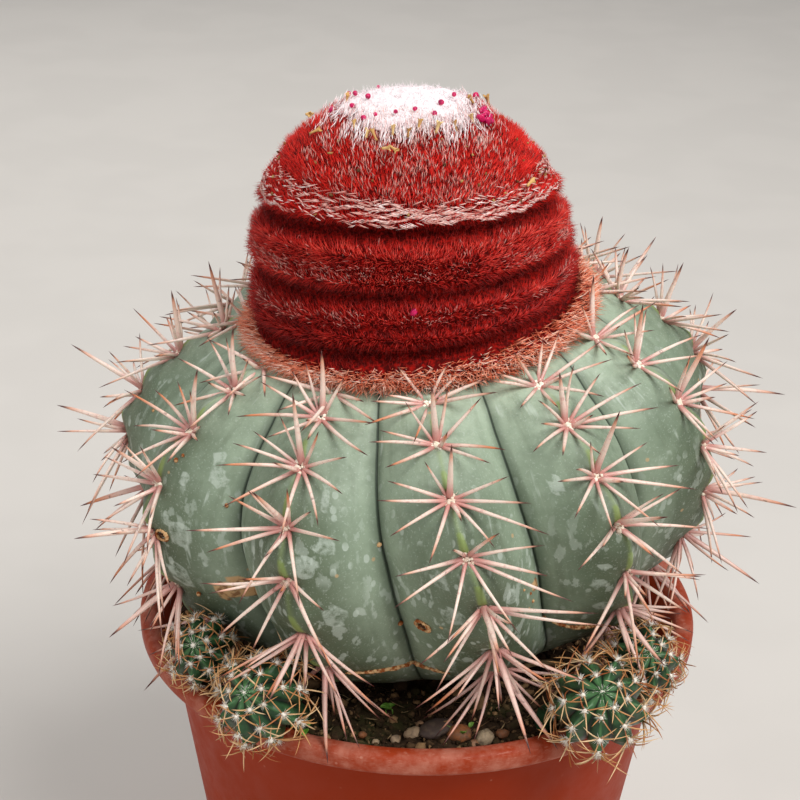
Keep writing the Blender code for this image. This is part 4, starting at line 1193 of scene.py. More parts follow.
class MELOCACTUS_OT_stage(Operator):
    """Set the floor, the lights and the camera"""
    bl_idname = "melocactus.stage"
    bl_label = "Stage"

    def execute(self, context):
        stage, scene = context.scene.melocactus_stage, context.scene
        lay_floor(stage, scene)
        hang_lights(stage, scene)
        place_camera(stage, scene)
        scene.view_settings.view_transform = 'Standard'
        return {'FINISHED'}


def pot_section():
    """Radii and heights from the floor's middle, over the rim, to the underside's middle."""
    base, lip, rim, wall_top = BASE_RADIUS, LIP_RADIUS, RIM_RADIUS, WALL_TOP_RADIUS
    top, band_foot, under = POT_HEIGHT, POT_HEIGHT - RIM_BAND, POT_HEIGHT - 1.7
    return np.array((
        (0.01, FLOOR), (20, FLOOR), (base - WALL - 2, FLOOR), (base - WALL - 0.6, FLOOR + 0.5),
        (base - WALL, FLOOR * 2), (base + 6.0, WALL_MIDDLE), (wall_top - WALL, WALL_TOP),
        (lip - 1.3, top - 2.0), (lip - 0.5, top - 0.8), (lip + 0.1, top - 0.25), (lip + 0.9, top),
        (rim - 1.6, top), (rim - 0.8, top - 0.25), (rim - 0.25, top - 0.8), (rim, top - 1.7),
        (rim - 0.1, band_foot + 0.8), (rim - 0.3, band_foot + 0.2), (rim - 0.7, band_foot),
        (rim - 1.2, band_foot + 0.1), (rim - 1.5, band_foot + 0.5), (rim - 1.6, under),
        (lip + 0.7, under), (wall_top + 0.4, WALL_TOP - 0.2), (wall_top - 0.25, WALL_TOP - 2.5),
        (base + 8.2, WALL_MIDDLE), (base + 0.1, 2.5), (base - 0.3, 1.0), (base - 1.2, 0.1),
        (base - 2.2, 0.0), (20, 0.0), (0.01, 0.0),
    ))


def drill_drains(piece):
    """Cut the drain holes through the floor."""
    bits = bmesh.new()
    for place in polar(DRAIN_RING, circle(DRAIN_COUNT) + 45.0, 0.0) * MM:
        bmesh.ops.create_cone(bits, segments=32, cap_ends=True, radius1=DRAIN_RADIUS * MM,
                              radius2=DRAIN_RADIUS * MM, depth=6 * FLOOR * MM,
                              matrix=Matrix.Translation(Vector(place)))
    mesh = bpy.data.meshes.new("drill")
    bits.to_mesh(mesh)
    bits.free()
    tool = bpy.data.objects.new("drill", mesh)
    bpy.context.scene.collection.objects.link(tool)
    cut = piece.modifiers.new("Drains", 'BOOLEAN')
    cut.operation, cut.solver, cut.object = 'DIFFERENCE', 'EXACT', tool
    drilled = piece.evaluated_get(bpy.context.evaluated_depsgraph_get())
    cut_mesh = bpy.data.meshes.new_from_object(drilled)
    piece.modifiers.clear()
    piece.data = cut_mesh
    bpy.data.objects.remove(tool)


class MELOCACTUS_OT_pot(Operator):
    """Turn the moulded pot with its rolled rim"""
    bl_idname = "melocactus.pot"
    bl_label = "Pot"

    def execute(self, context):
        section = pot_section()
        radius, height = section[:, :1], section[:, 1:]
        azimuth = circle(POT_COLUMNS)
        oval = RIM_OVAL * ripple(azimuth, 2, 40) * smooth(60, 105, height) * (radius > 40)
        band_foot = POT_HEIGHT - RIM_BAND
        rim = smooth(band_foot - 0.6, band_foot + 0.4, height) * (radius > LIP_RADIUS - 2.1)
        inside = (np.arange(len(section)) < SECTION_INNER_ROWS)[:, None] * 1.0
        shape = grid(polar(radius + oval, azimuth, height), rim=rim, inside=inside)
        plastic = moulded_polypropylene(context.scene.melocactus_pot)
        piece = add_piece("pot_shell", shape, plastic, "pot", "pot")
        drill_drains(piece)
        piece.data.set_sharp_from_angle(angle=math.radians(SHARP_ANGLE))
        return {'FINISHED'}


def soil_height(x, y):
    """Height of the soil's uneven top."""
    return SOIL_LEVEL + SOIL_SWELL * (np.sin(x * 0.31) * np.cos(y * 0.27) + 0.6 * np.sin(x * 0.13 - y * 0.41))


def scattered(count, reach, lift, rng):
    """Places spread evenly over the soil round the globe's foot, a lift above it."""
    radius = np.sqrt(rng.uniform(LITTER_FROM ** 2, reach ** 2, count))
    place = polar(radius, rng.uniform(0, 360, count), 0.0)
    place[:, 2] = soil_height(place[:, 0], place[:, 1]) + lift
    return place


def soil_bed(soil):
    """Body of the soil, rough on top and smooth against the pot."""
    azimuth = circle(SOIL_COLUMNS)
    radii = np.concatenate(([1.0, 12.0, 20.0], np.linspace(24, SOIL_RADIUS, SOIL_ROWS)))
    points = polar(radii[:, None], azimuth[None], 0.0)
    rough = np.array([[noise.fractal(Vector(p) * 0.5, 0.6, 2.0, 4) for p in row] for row in points])
    points[..., 2] = soil_height(points[..., 0], points[..., 1]) + rough
    points[-1, :, 2] -= 0.8
    foot = BASE_RADIUS - WALL
    side = np.stack([polar(radius, azimuth, height) for radius, height in (
        (SOIL_RADIUS - 0.1, SOIL_LEVEL - 3.0), (foot - 0.6, 5.0), (foot - 2.8, FLOOR + 0.3))])
    dry = np.clip(np.concatenate([rough, np.zeros(side.shape[:2])]) * 0.6, 0, 1)
    add_piece("soil_bed", grid(np.concatenate([points, side]), tint=dry), soil, "soil", "soil")


def soil_crumbs(small, soil, rng):
    """Loose crumbs, most of them small."""
    large = small // SMALL_PER_LARGE
    sizes = np.concatenate([rng.uniform(0.45, 1.0, small) ** 2 * LARGEST_SMALL_CRUMB,
                            rng.uniform(*LARGE_CRUMBS, large)])
    place = scattered(small + large, SOIL_RADIUS - 0.8, 0.4 * sizes, rng)
    tint = rng.uniform(0, 1, small + large) ** 2.5
    shapes = [lumps(place[:small], sizes[:small], 5, 1, 0.3, (1.3, 0.9, 0.8), tint=tint[:small]),
              lumps(place[small:], sizes[small:], 6, 2, 0.22, (1.2, 0.95, 0.7), tint=tint[small:])]
    add_piece("soil_crumbs", merged(shapes), soil, "soil")


def soil_bark(rng):
    """Chips and fibres of bark, and a root that arches out of the soil."""
    place = scattered(BARK_COUNT, SOIL_RADIUS - 2, 0.6, rng)
    flat = unit(rng.normal(size=place.shape) * (1, 1, 0.2))
    thick = BARK_RADIUS[0] + BARK_RADIUS[1] * rng.uniform(0, 1, BARK_COUNT) ** 3
    long = BARK_LENGTH[0] + BARK_LENGTH[1] * rng.uniform(0, 1, BARK_COUNT)
    bend = rng.normal(size=place.shape) * (0.3, 0.3, 0.08)
    chips = strands(place, flat, long, thick, bend, 4, BARK_PROFILE, rng,
                    tint=rng.uniform(0.0, 1.0, BARK_COUNT))
    root = tube(ROOT_ROUTE, ROOT_RADII, tint=0.9, along=0.8)
    # Bark and roots: split, dry and dull, from dark brown to straw.
    straw = plant_fibre("dry_bark_fibre", (srgb("3a2619"), srgb("7a5a3c"), srgb("c0a578")), 0.8)
    add_piece("soil_bark", merged([chips, root]), straw, "soil")


def soil_pebbles(rng):
    """Pebbles listed one by one in front, and scattered ones round the rest."""
    count = SCATTERED_PEBBLES
    azimuth = 40 + 280 * (np.arange(count) + 0.5) / count
    place = polar(rng.uniform(*PEBBLE_RING, count), azimuth, 0.0)[:, :2]
    sizes, tones = rng.uniform(*PEBBLE_SIZES, count), rng.uniform(0, 1, count)
    others = np.column_stack([place, sizes, tones, np.full(count, 0.8)])
    x, y, size, tone, flat = np.vstack([PEBBLES, others]).T
    centres = np.column_stack([x, y, soil_height(x, y) + 0.3 * size])
    shape = lumps(centres, size, 8, 3, 0.1, (1.15, 0.95, 0.85), flat, tint=tone)
    spread = unit(shape["points"] - np.repeat(centres, len(shape["points"]) // len(centres), axis=0))
    shape["points"] += 0.14 * waves(shape["points"], 2.2, 3)[:, None] * spread
    add_piece("soil_pebbles", shape, worn_gravel(), "soil")


def seedling_leaf(x, y, z, size, azimuth, rise):
    """Cupped oval blade on a short stalk."""
    t, ring = np.linspace(0.02, 0.98, 9)[:, None], np.radians(circle(12))[None]
    half = 0.38 * size * np.sin(np.pi * t ** 0.8)
    cupped = 0.12 * size * (half / size) * 6 * np.cos(ring) ** 2 + 0.11 * np.sin(ring) + 0.2 * size * t
    blade = np.stack(np.broadcast_arrays(half * np.cos(ring), -t * size, cupped), axis=-1)
    turn = turned(azimuth, -rise)
    stalk = tube([(x, y, z - 2.2), (x + 0.15, y, z - 1.0), (x, y, z + 0.05)], 0.14, 6)
    return merged([grid(blade @ turn.T + (x, y, z)), stalk])


class MELOCACTUS_OT_soil(Operator):
    """Fill the pot with crumbly soil, bark and pebbles"""
    bl_idname = "melocactus.soil"
    bl_label = "Soil"

    def execute(self, context):
        pot = context.scene.melocactus_pot
        rng = np.random.default_rng(SOIL_SEED)
        soil = peaty_soil(pot)
        soil_bed(soil)
        soil_crumbs(pot.crumb_count, soil, rng)
        soil_bark(rng)
        soil_pebbles(rng)
        add_piece("seedlings", merged([seedling_leaf(*row) for row in LEAVES]), green_leaf(), "offset_skin")
        return {'FINISHED'}


def globe_skin(body):
    """Ribbed skin down to the foot, with its areoles' dents and its stains."""
    half = np.concatenate((CREST_STEPS, np.linspace(0.09, 0.44, 10), FURROW_STEPS))
    across = np.tile(np.concatenate((half, (0.5,), 1 - half[:0:-1])), len(RIBS))[None]
    rib = np.repeat(np.arange(len(RIBS)), across.shape[1] // len(RIBS))[None]
    rib, across, level = np.broadcast_arrays(rib, across, np.linspace(-1, 8, SKIN_ROWS)[:, None])
    local = skin_point(rib, across, level)
    _, azimuth, held = skin_angles(rib, across, level)
    off = 2 * np.minimum(across, 1 - across)
    far_side = across > 0.5
    world = body_world(local)
    from_areole = level - np.clip(np.round(level), 0, AREOLE_LEVELS - 1)
    strip = crest_strip(off, from_areole) * held
    cork = stains(rib, across, level, CORKY_SCARS, 0.5)
    cork = np.maximum(cork, smooth(*CORKY_FOOT, world[..., 2] + 1.5 * waves(world, 9, 6)))
    rise = areole_dents(off, from_areole) * held + STRIP_RISE * strip
    rise = rise + 0.25 * waves(world, 17, 1) + 0.08 * waves(world, 5.5, 2)
    rise = rise + CORK_RISE * cork * (0.6 + 0.8 * waves(world, 3.0, 12))
    local = local + unit(local) * rise[..., None]
    foot = np.stack([polar(FOOT_RADIUS, azimuth[-1], -depth) for depth in FOOT_DEPTHS])
    marks = {
        "off": off, "level": level, "strip": strip * smooth(-0.3, 0.4, level), "cork": cork,
        "water": stains(rib, across, level, WATER_MARKS, 0.25),
        "run_across": np.where(far_side, -off, off) * HALF_RIB * MM,
        # Each rib has its own stretch of the pattern, a third of a metre from the next rib's.
        "run_down": level * AREOLE_SPACING * MM + (rib + far_side) % len(RIBS) * 0.33,
    }
    marks = {name: np.pad(value, ((0, len(foot)), (0, 0)), mode='edge') for name, value in marks.items()}
    points = body_world(np.concatenate([local, foot]))
    add_piece("body_skin", grid(points, **marks), waxy_epidermis(body), "skin", "cactus_body")


def areole_dents(off, from_areole):
    """Rise of the skin round each areole: a dent with a swollen edge."""
    distance = np.hypot(from_areole * AREOLE_SPACING, off * HALF_RIB)
    return sum(rise * np.exp(-((distance - middle) / width) ** 2)
               for rise, middle, width in AREOLE_RELIEF)


def crest_strip(off, from_areole):
    """Narrow raised strip on the crest between two areoles, stronger above an areole than below it."""
    above = np.clip(-from_areole * 2, 0, 1)
    strip = np.clip(1 - off / (0.05 + 0.03 * (1 - above)), 0, 1) ** 0.6 * (np.abs(from_areole) > 0.09)
    return strip * np.where(from_areole < 0, 1.0, 0.4)


def stains(rib, across, level, table, ragged):
    """How strongly the marks of a table show on the skin."""
    total = np.zeros(across.shape)
    world = body_world(skin_point(rib, across, level))
    edge = ragged * waves(world, 3.2, 9)
    for number, place_across, place_level, width, height in table:
        spot, _, upward, _ = on_skin(number, place_across, place_level)
        away = world - spot
        rise = away @ upward
        aside = np.linalg.norm(away, axis=-1) ** 2 - rise ** 2
        reach = np.sqrt((rise / height) ** 2 + aside / width ** 2)
        total = np.maximum(total, smooth(1.25, 0.8, reach + edge))
    return total


def skin_scars(body):
    """Corky warts, ring scars and torn edges."""
    rng = np.random.default_rng(SCAR_SEED)
    shapes = []
    for rib, across, level, size in WARTS:
        place, outward, _, _ = on_skin(rib, across, level)
        shapes.append(lumps([place + outward * 0.25 * size], size, rib + 3, 2, 0.15))
        shapes.append(lumps([place + outward * 0.85 * size], 0.35 * size, rib + 9, 1, 0.2, tint=0.7))
    for rib, across, level, size in RING_SCARS:
        place, outward, upward, sideways = on_skin(rib, across, level)
        turn = np.radians(circle(RING_BEADS))[:, None]
        ring = place + size * (np.cos(turn) * sideways + 0.75 * np.sin(turn) * upward) + outward * 0.35
        shapes.append(lumps(ring, rng.uniform(*BEAD_SIZES, RING_BEADS), 31, 1, 0.2))
        shapes.append(lumps([place + outward * 0.2], 0.6 * size, 33, 2, 0.15, (1, 1, 0.5), tint=0.9))
    for rib, route in CORKY_EDGES:
        shapes.append(torn_edge(rib, np.array(route), rng))
    add_piece("body_cork", merged(shapes), cracked_cork(body), "skin")


def torn_edge(rib, knots, rng):
    """Rough corky seam along a route on the skin."""
    position = np.linspace(0, len(knots) - 1, 12 * len(knots))
    places = []
    for across, level in zip(along(knots[:, 0], position), along(knots[:, 1], position)):
        place, outward, upward, _ = on_skin(rib, across, level)
        places.append(place + outward * rng.uniform(0.1, 0.3) + upward * rng.normal() * 0.12)
    taper = np.sin(np.linspace(0.08, math.pi - 0.08, len(places))) ** 0.5
    return tube(places, taper * (0.46 + 0.25 * waves(np.array(places), 3, 5)), 7, tint=0.35)


class MELOCACTUS_OT_body(Operator):
    """Grow the ribbed globe"""
    bl_idname = "melocactus.body"
    bl_label = "Globe"

    def execute(self, context):
        body = context.scene.melocactus_body
        globe_skin(body)
        skin_scars(body)
        return {'FINISHED'}


def spine_bundle(place, outward, upward, sideways, lowness, body, rng):
    """Spines of one areole; lowness is 0 at the top of the globe and 1 at its foot."""
    radius = body.spine_radius / MM
    growth = (SPINE_GROWTH[0] + (SPINE_GROWTH[1] - SPINE_GROWTH[0]) * lowness) * body.spine_scale
    swing = rng.normal() * 7
    rows = []
    for turn, rise, size, thickness in SPINE_LAYOUT:
        a, b = math.radians(turn + swing + rng.normal() * 6), math.radians(rise + rng.normal() * 6)
        long = size * growth * rng.uniform(0.85, 1.13)
        tint, curl, lost = rng.uniform(), rng.normal(size=3) * 0.045, rng.uniform() < SPINE_LOSS
        flat = upward * math.cos(a) + sideways * math.sin(a)
        aim = unit(flat * math.cos(b) + outward * math.sin(b) - upward * SPINE_DROOP * lowness ** 3)
        root = place + flat * SPINE_RING - outward * 0.3
        away = unit(outward * (1, 1, 1 - lowness) + sideways * sideways.dot(aim))
        found = None if lost else freed(root, aim, long, away, radius + 0.3)
        if found:
            bend = curl - outward * 0.07 * math.cos(b) - upward * 0.03
            rows.append((root, *found, radius * thickness * rng.uniform(0.9, 1.1), bend, tint, lowness))
    return rows


def areole_wool(pads, body, rng):
    """Felted knobs and loose hairs in each areole, darker on the old ones."""
    lowness = np.tile(np.linspace(0, 1, AREOLE_LEVELS), len(RIBS))
    place, outward, upward, sideways = np.repeat(pads, PAD_KNOBS, axis=0).transpose(1, 0, 2)
    count = len(place)
    turn = (np.tile(np.radians(circle(PAD_KNOBS)), len(pads)) + rng.uniform(0, 1, count))[:, None]
    reach = rng.uniform(0.2, 1.5, (count, 1))
    spot = place + reach * (np.cos(turn) * upward + np.sin(turn) * sideways) + 0.45 * outward
    tone = np.repeat(0.95 - 0.55 * lowness, PAD_KNOBS) + rng.uniform(-0.25, 0.15, count)
    knobs = lumps(spot, rng.uniform(*KNOB_SIZES, count), 6, 1, 0.15, tint=tone, along=0.8)

    place, outward, upward, sideways = np.repeat(pads, PAD_HAIRS, axis=0).transpose(1, 0, 2)
    count = len(place)
    turn, reach = rng.uniform(0, 2 * np.pi, (count, 1)), 1.6 * np.sqrt(rng.uniform(0.05, 1, (count, 1)))
    flat = np.cos(turn) * upward + np.sin(turn) * sideways
    aim = outward * 0.9 + flat * 0.7 + rng.normal(size=place.shape) * 0.4
    tone = np.repeat(1 - 0.6 * lowness, PAD_HAIRS) + rng.uniform(-0.3, 0.2, count)
    hairs = strands(place + flat * reach + outward * 0.3, aim, rng.uniform(*PAD_HAIR_LENGTHS, count),
                    WOOL_RADIUS, rng=rng, tint=tone)
    # Wool of the areoles: matted and dull, cream when young and brown with dust when old.
    wool = plant_fibre("areole_wool", (srgb("6d5544"), srgb("c4a392"), body.wool_colour, srgb("fbf3e4")),
                       0.85, 0.2, 0.1, 0.3)
    add_piece("areole_wool", merged([knobs, hairs]), wool, "wool")


class MELOCACTUS_OT_spines(Operator):
    """Set the areoles' wool and spines"""
    bl_idname = "melocactus.spines"
    bl_label = "Spines"

    def execute(self, context):
        body = context.scene.melocactus_body
        rng = np.random.default_rng(SPINE_SEED)
        rows, pads = [], []
        for rib in range(len(RIBS)):
            for level in range(AREOLE_LEVELS):
                place, outward, upward, sideways = on_skin(rib, 0.0, level)
                pads.append(np.stack([place - outward * 0.35, outward, upward, sideways]))
                lowness = level / (AREOLE_LEVELS - 1)
                rows += spine_bundle(place, outward, upward, sideways, lowness, body, rng)
        root, aim, long, thick, bend, tint, age = (np.array(column) for column in zip(*rows))
        needles = strands(root, aim, long, thick, bend, SPINE_SIDES, SPINE_PROFILE, rng, tint=tint, age=age)
        add_piece("body_spines", needles, horny_spine(body), "skin")
        areole_wool(np.array(pads), body, rng)
        return {'FINISHED'}


def over_cap(count, band, rng):
    """Random heights and azimuths on the cap, even over its surface within a band of heights."""
    h = np.linspace(*band, 400)
    r = np.interp(h, PROFILE_HEIGHTS, PROFILE_RADII)
    area = np.concatenate(([0.0], np.cumsum(np.hypot(np.diff(h), np.diff(r)) * (r[1:] + r[:-1]) / 2)))
    return np.interp(rng.uniform(0, area[-1], count), area, h), rng.uniform(0, 360, count)


def thinned(height, azimuth, chance, rng):
    """The heights and azimuths that are kept, each by its own chance."""
    keep = rng.uniform(0, 1, len(height)) < chance
    return height[keep], azimuth[keep]


def brush(height, azimuth, rng, size, radius, out, up, spread, lift, tone, profile=STRAIGHT, side=0.0,
          curl=0.0):
    """Bristles at heights and azimuths on the cap; they lie in locks."""
    count = len(height)
    place, outward, upward, sideways = on_cephalium(height, azimuth, lift)
    lock = waves(place, 8, 31)[:, None] * 0.3 + rng.normal(size=(count, 1)) * side
    aim = outward * out + upward * up + sideways * lock + rng.normal(size=place.shape) * spread
    bend = upward * curl + rng.normal(size=place.shape) * abs(curl) * 0.5
    long, thick = size * rng.uniform(0.7, 1.15, count), radius * rng.uniform(0.75, 1.2, count)
    return strands(place, aim, long, thick, bend, 3, profile, rng, tint=np.clip(tone, 0, 1))


def fold_shade(height):
    """How deep a height lies in the folds of the fur, from 0 to 1: the strength of the painted shade there.
    """
    return sum(np.exp(-((height - middle - 0.3) / (width + 0.5)) ** 2) * min(1.0, -swell)
               for middle, width, swell in CAP_FOLDS if swell < 0)


def skirt_tilted(flat, part):
    """Points in the skirt's own plane, tilted with it by a part from 0 to 1."""
    return flat + (flat @ lean(*SKIRT_TILT).T - flat) * part


def cap_core(look):
    """Felted column under the bristles, with the skirt's thick edge."""
    azimuth = circle(150)
    heights, _ = profile_curve(CEPHALIUM_PROFILE, 100)
    heights = heights[heights < 47.6][:, None]
    column = cephalium_point(heights, cap_radius(heights, azimuth[None]) - FUR_DEPTH, azimuth[None])
    column = column + waves(column, 7, 4)[..., None] * 0.2
    edge = [body_world(SKIRT_CENTRE + skirt_tilted(polar(radius, azimuth, 0.0), part) + (0, 0, height))
            for radius, height, part in SKIRT_EDGE]
    points = np.concatenate([np.stack(edge), column])[::-1]
    add_piece("cephalium_core", grid(points), matted_felt(look), "bristles", "cephalium")


def cap_fur(look, height, azimuth, tone, patches, folds, up, lift, rng):
    """Bristles whose tone varies in patches and is darkened in the folds by painted shade."""
    place = on_cephalium(height, azimuth)[0]
    tone = tone + 0.3 * waves(place, *patches) + rng.normal(size=len(place)) * 0.22
    # Painted shade: bristles deep in the folds are darker.
    tone = tone * (1 - folds * fold_shade(height))
    long, thick = look.bristle_length / MM, look.bristle_radius / MM
    return brush(height, azimuth, rng, long, thick, 0.9, up, 0.22, lift, tone, curl=0.05)


def lower_fur(look, rng):
    """Old bristles of the folds under the dome."""
    height, azimuth = over_cap(look.bristle_count, LOWER_FUR, rng)
    # Painted shade: the bristles are darker towards the left and right sides of the cap, which turn away from
    # the front.
    tone = 0.5 - 0.12 * ripple(azimuth) ** 4 + 0.012 * (height - 4)
    fur = cap_fur(look, height, azimuth, tone, (5, 12), 0.75, 0.45, -2.2, rng)
    # Old bristles: stiff dead horn with little gloss, faded to maroon; the palest stop, for the brightest
    # bristles, is partly a painted highlight along them.
    horn = plant_fibre("old_bristle", (look.felt_and_shade_colour, srgb("9c1812"), look.old_bristle_colour,
                                       srgb("e85040")), 0.45, 0.24)
    add_piece("bristles_lower", fur, horn, "bristles")


def upper_fur(look, rng):
    """Young bristles of the dome, thinned out towards the crown's wool."""
    height, azimuth = over_cap(look.bristle_count, UPPER_FUR, rng)
    keep = rng.uniform(0, 1, len(height)) > smooth(-0.8, 1.6, height - wool_edge(azimuth))
    height, azimuth = height[keep], azimuth[keep]
    # Painted shade: the bristles are darker towards the left and right sides of the cap, which turn away from
    # the front.
    tone = 0.64 - 0.22 * ripple(azimuth) ** 4
    fur = cap_fur(look, height, azimuth, tone, (6, 13), 0.6, 0.5, -2.6, rng)
    # Young bristles: stiff horn with little gloss, crimson; the palest stop, for the brightest bristles, is
    # partly a painted highlight along them.
    horn = plant_fibre("young_bristle", (look.felt_and_shade_colour, look.old_bristle_colour, look.bristle_colour,
                                         srgb("f24c3c")), 0.45, 0.18)
    add_piece("bristles_upper", fur, horn, "bristles")


def wool_flecks(rng):
    """Flecks of wool on the dome, most of them in front and behind."""
    height, azimuth = over_cap(FLECK_COUNT, FLECK_BAND, rng)
    patch = waves(on_cephalium(height, azimuth)[0], 9, 44)
    chance = 0.5 + 0.35 * patch + 0.3 * smooth(38, 45, height) - 0.75 * ripple(azimuth) ** 2
    height, azimuth = thinned(height, azimuth, chance, rng)
    tone = rng.uniform(0.0, 0.45, len(height)) + 0.45 * smooth(34, 45, height)
    return brush(height, azimuth, rng, 1.7, 0.12, 0.75, 0.7, 0.28, -0.75, tone)


def wool_braid(row, rng):
    """One row of matted wool in the band above the fold; rows lean to and fro in turn."""
    azimuth = np.repeat(np.arange(0, 360, 0.9) + rng.uniform(0, 0.7), 3)
    rise = 3.4 * ripple(azimuth) ** 2 * (0.55 + 0.09 * row)
    wave = 0.3 * ripple(azimuth, 23, row * 70) + 0.35 * ripple(azimuth, 7, row * 55)
    height = BRAID_HEIGHT + BRAID_STEP * row + rise + wave + rng.normal(size=len(azimuth)) * 0.14
    chance = BRAID_DENSITIES[row] * (0.62 + 0.5 * ripple(azimuth, 3, row * 40))
    height, azimuth = thinned(height, azimuth, chance, rng)
    count = len(height)
    place, outward, upward, sideways = on_cephalium(height, azimuth, 0.05)
    sign = np.where(rng.uniform(0, 1, (count, 1)) < 0.85, 1.0, -1.0) * (1 if row % 2 else -1)
    aim = sideways * sign + upward * (0.28 + 0.12 * rng.normal(size=(count, 1))) + outward * 0.1
    tone = 0.55 + 0.3 * waves(place, 7, 60 + row) + rng.normal(size=count) * 0.25 - 0.04 * row
    long, thick = rng.uniform(*BRAID_LENGTHS, count), rng.uniform(*BRAID_RADII, count)
    return strands(place - aim * 0.9, aim, long, thick, outward * -0.22, 3, BRAID_PROFILE, rng,
                   tint=np.clip(tone, 0, 1))


def wool_tufts(rng):
    """Sparse wool on the folds below the band."""
    shapes = []
    for low, high, count, strength in TUFT_BANDS:
        height, azimuth = rng.uniform(low, high, count), rng.uniform(0, 360, count)
        patch = waves(on_cephalium(height, azimuth)[0], 7, 51)
        height, azimuth = thinned(height, azimuth, strength + 0.9 * patch, rng)
        tone = rng.uniform(0.0, 0.4, len(height))
        shapes.append(brush(height, azimuth, rng, 1.5, 0.08, 0.8, 0.5, 0.22, -0.75, tone, TUFT_PROFILE,
                            0.25))
    return shapes


def cap_skirt(look, rng):
    """Coarse weathered bristles round the foot, that reach over the green."""
    count = SKIRT_COUNT
    azimuth, radius = rng.uniform(0, 360, count), rng.uniform(*SKIRT_RING, count)
    near_cap = smooth(36.0, SKIRT_RING[0], radius)
    height = rng.uniform(*SKIRT_HEIGHTS, count) + near_cap * rng.uniform(0, 1.8, count)
    flat = skirt_tilted(polar(radius, azimuth, 0.0), np.clip(height / 3, 0, 1)[:, None])
    place = body_world(SKIRT_CENTRE + flat + height[:, None] * (0, 0, 1))
    outward = polar(1.0, azimuth, 0.0) @ BODY_TURN.T
    upward = np.broadcast_to(BODY_TURN @ (0, 0, 1.0), outward.shape)
    sideways = np.cross(upward, outward)
    left = np.clip(-ripple(azimuth), 0, 1)[:, None]
    aim = (outward * 0.85 + upward * (rng.uniform(-0.35, 0.75, (count, 1)) - 0.25 * left)
           + sideways * rng.normal(size=(count, 1)) * 0.5)
    tone = np.clip(rng.uniform(0, 1, count) ** 1.1 + 0.25 * waves(place, 8, 5) - 0.15 * near_cap, 0, 1)
    long, thick = rng.uniform(*SKIRT_LENGTHS, count), rng.uniform(*SKIRT_RADII, count)
    fringe = strands(place, aim, long, thick, rng=rng, tint=tone)
    # Oldest bristles: bleached by sun and rain, rusty to straw, and dry.
    weathered = plant_fibre("weathered_bristle", (srgb("d0603e"), look.skirt_colour, srgb("f8b698"),
                                                  look.straw_colour), 0.55, 0.3, 0.0, 0.2)
    add_piece("skirt_bristles", fringe, weathered, "bristles")


def cap_debris(rng):
    """Chaff caught between the bristles of the dome."""
    azimuth, height = rng.uniform(0, 360, DEBRIS_COUNT), rng.uniform(*DEBRIS_BAND, DEBRIS_COUNT)
    place = on_cephalium(height, azimuth, -0.1)[0]
    crumbs = lumps(place, rng.uniform(*DEBRIS_SIZES, DEBRIS_COUNT), 12, 1, 0.3, (1.5, 0.9, 0.7),
                   tint=rng.uniform(0, 1, DEBRIS_COUNT), along=0.8)
    # Chaff: dry crumbs of leaf and flower, dull brown to straw.
    chaff = plant_fibre("dry_chaff", (srgb("4a2f16"), srgb("7c5a2e"), srgb("b79a5c")), 0.7)
    add_piece("cap_debris", crumbs, chaff, "bristles")


class MELOCACTUS_OT_cephalium(Operator):
    """Build the red bristly cap and its skirt"""
    bl_idname = "melocactus.cephalium"
    bl_label = "Cephalium"

    def execute(self, context):
        look = context.scene.melocactus_cephalium
        rng = np.random.default_rng(CAP_SEED)
        cap_core(look)
        lower_fur(look, rng)
        upper_fur(look, rng)
        # Wool between the bristles: soft and dull, bleached pinkish white.
        bleached = plant_fibre("bristle_wool", (srgb("b8564c"), look.fleck_colour, srgb("fff1ec")), 0.8, 0.2,
                               0.1, 0.4)
        flecks = [wool_flecks(rng)] + [wool_braid(row, rng) for row in range(len(BRAID_DENSITIES))]
        add_piece("bristle_wool", merged(flecks + wool_tufts(rng)), bleached, "bristles")
        cap_skirt(look, rng)
        cap_debris(rng)
        return {'FINISHED'}


def crown_dome():
    """Lumpy mass of the wool."""
    azimuth = circle(110)
    part = np.concatenate(([-0.12, -0.04], np.linspace(0.0, 0.985, 22)))[:, None]
    heights = wool_edge(azimuth)[None] * (1 - part) + CROWN_HEIGHT * part
    sink = np.where(part < 0, 2.6, 0.9 - 0.9 * np.sqrt(np.maximum(part, 0)))
    radii = np.maximum(np.interp(heights, PROFILE_HEIGHTS, PROFILE_RADII) - sink, 0.08)
    points = cephalium_point(heights, radii, azimuth[None])
    points = points + waves(points, 2.6, 8)[..., None] * 0.28 * np.clip(part * 4, 0, 1)[..., None]
    return grid(points[::-1], tint=0.8, along=1.0)


def crown_fluff(rng):
    """Fine hairs that stand off the wool."""
    height, azimuth = over_cap(FLUFF_COUNT, FLUFF_BAND, rng)
    height, azimuth = thinned(height, azimuth, smooth(-0.9, 0.5, height - wool_edge(azimuth)), rng)
    place, outward, _, _ = on_cephalium(height, azimuth, -0.5)
    count = len(place)
    aim = outward * 0.35 + rng.normal(size=place.shape) * 0.7
    long, thick = rng.uniform(*FLUFF_LENGTHS, count), rng.uniform(*FLUFF_RADII, count)
    bend = rng.normal(size=place.shape) * 0.4
    return strands(place, aim, long, thick, bend, 3, FLUFF_PROFILE, rng, tint=rng.uniform(0.45, 1.0, count))


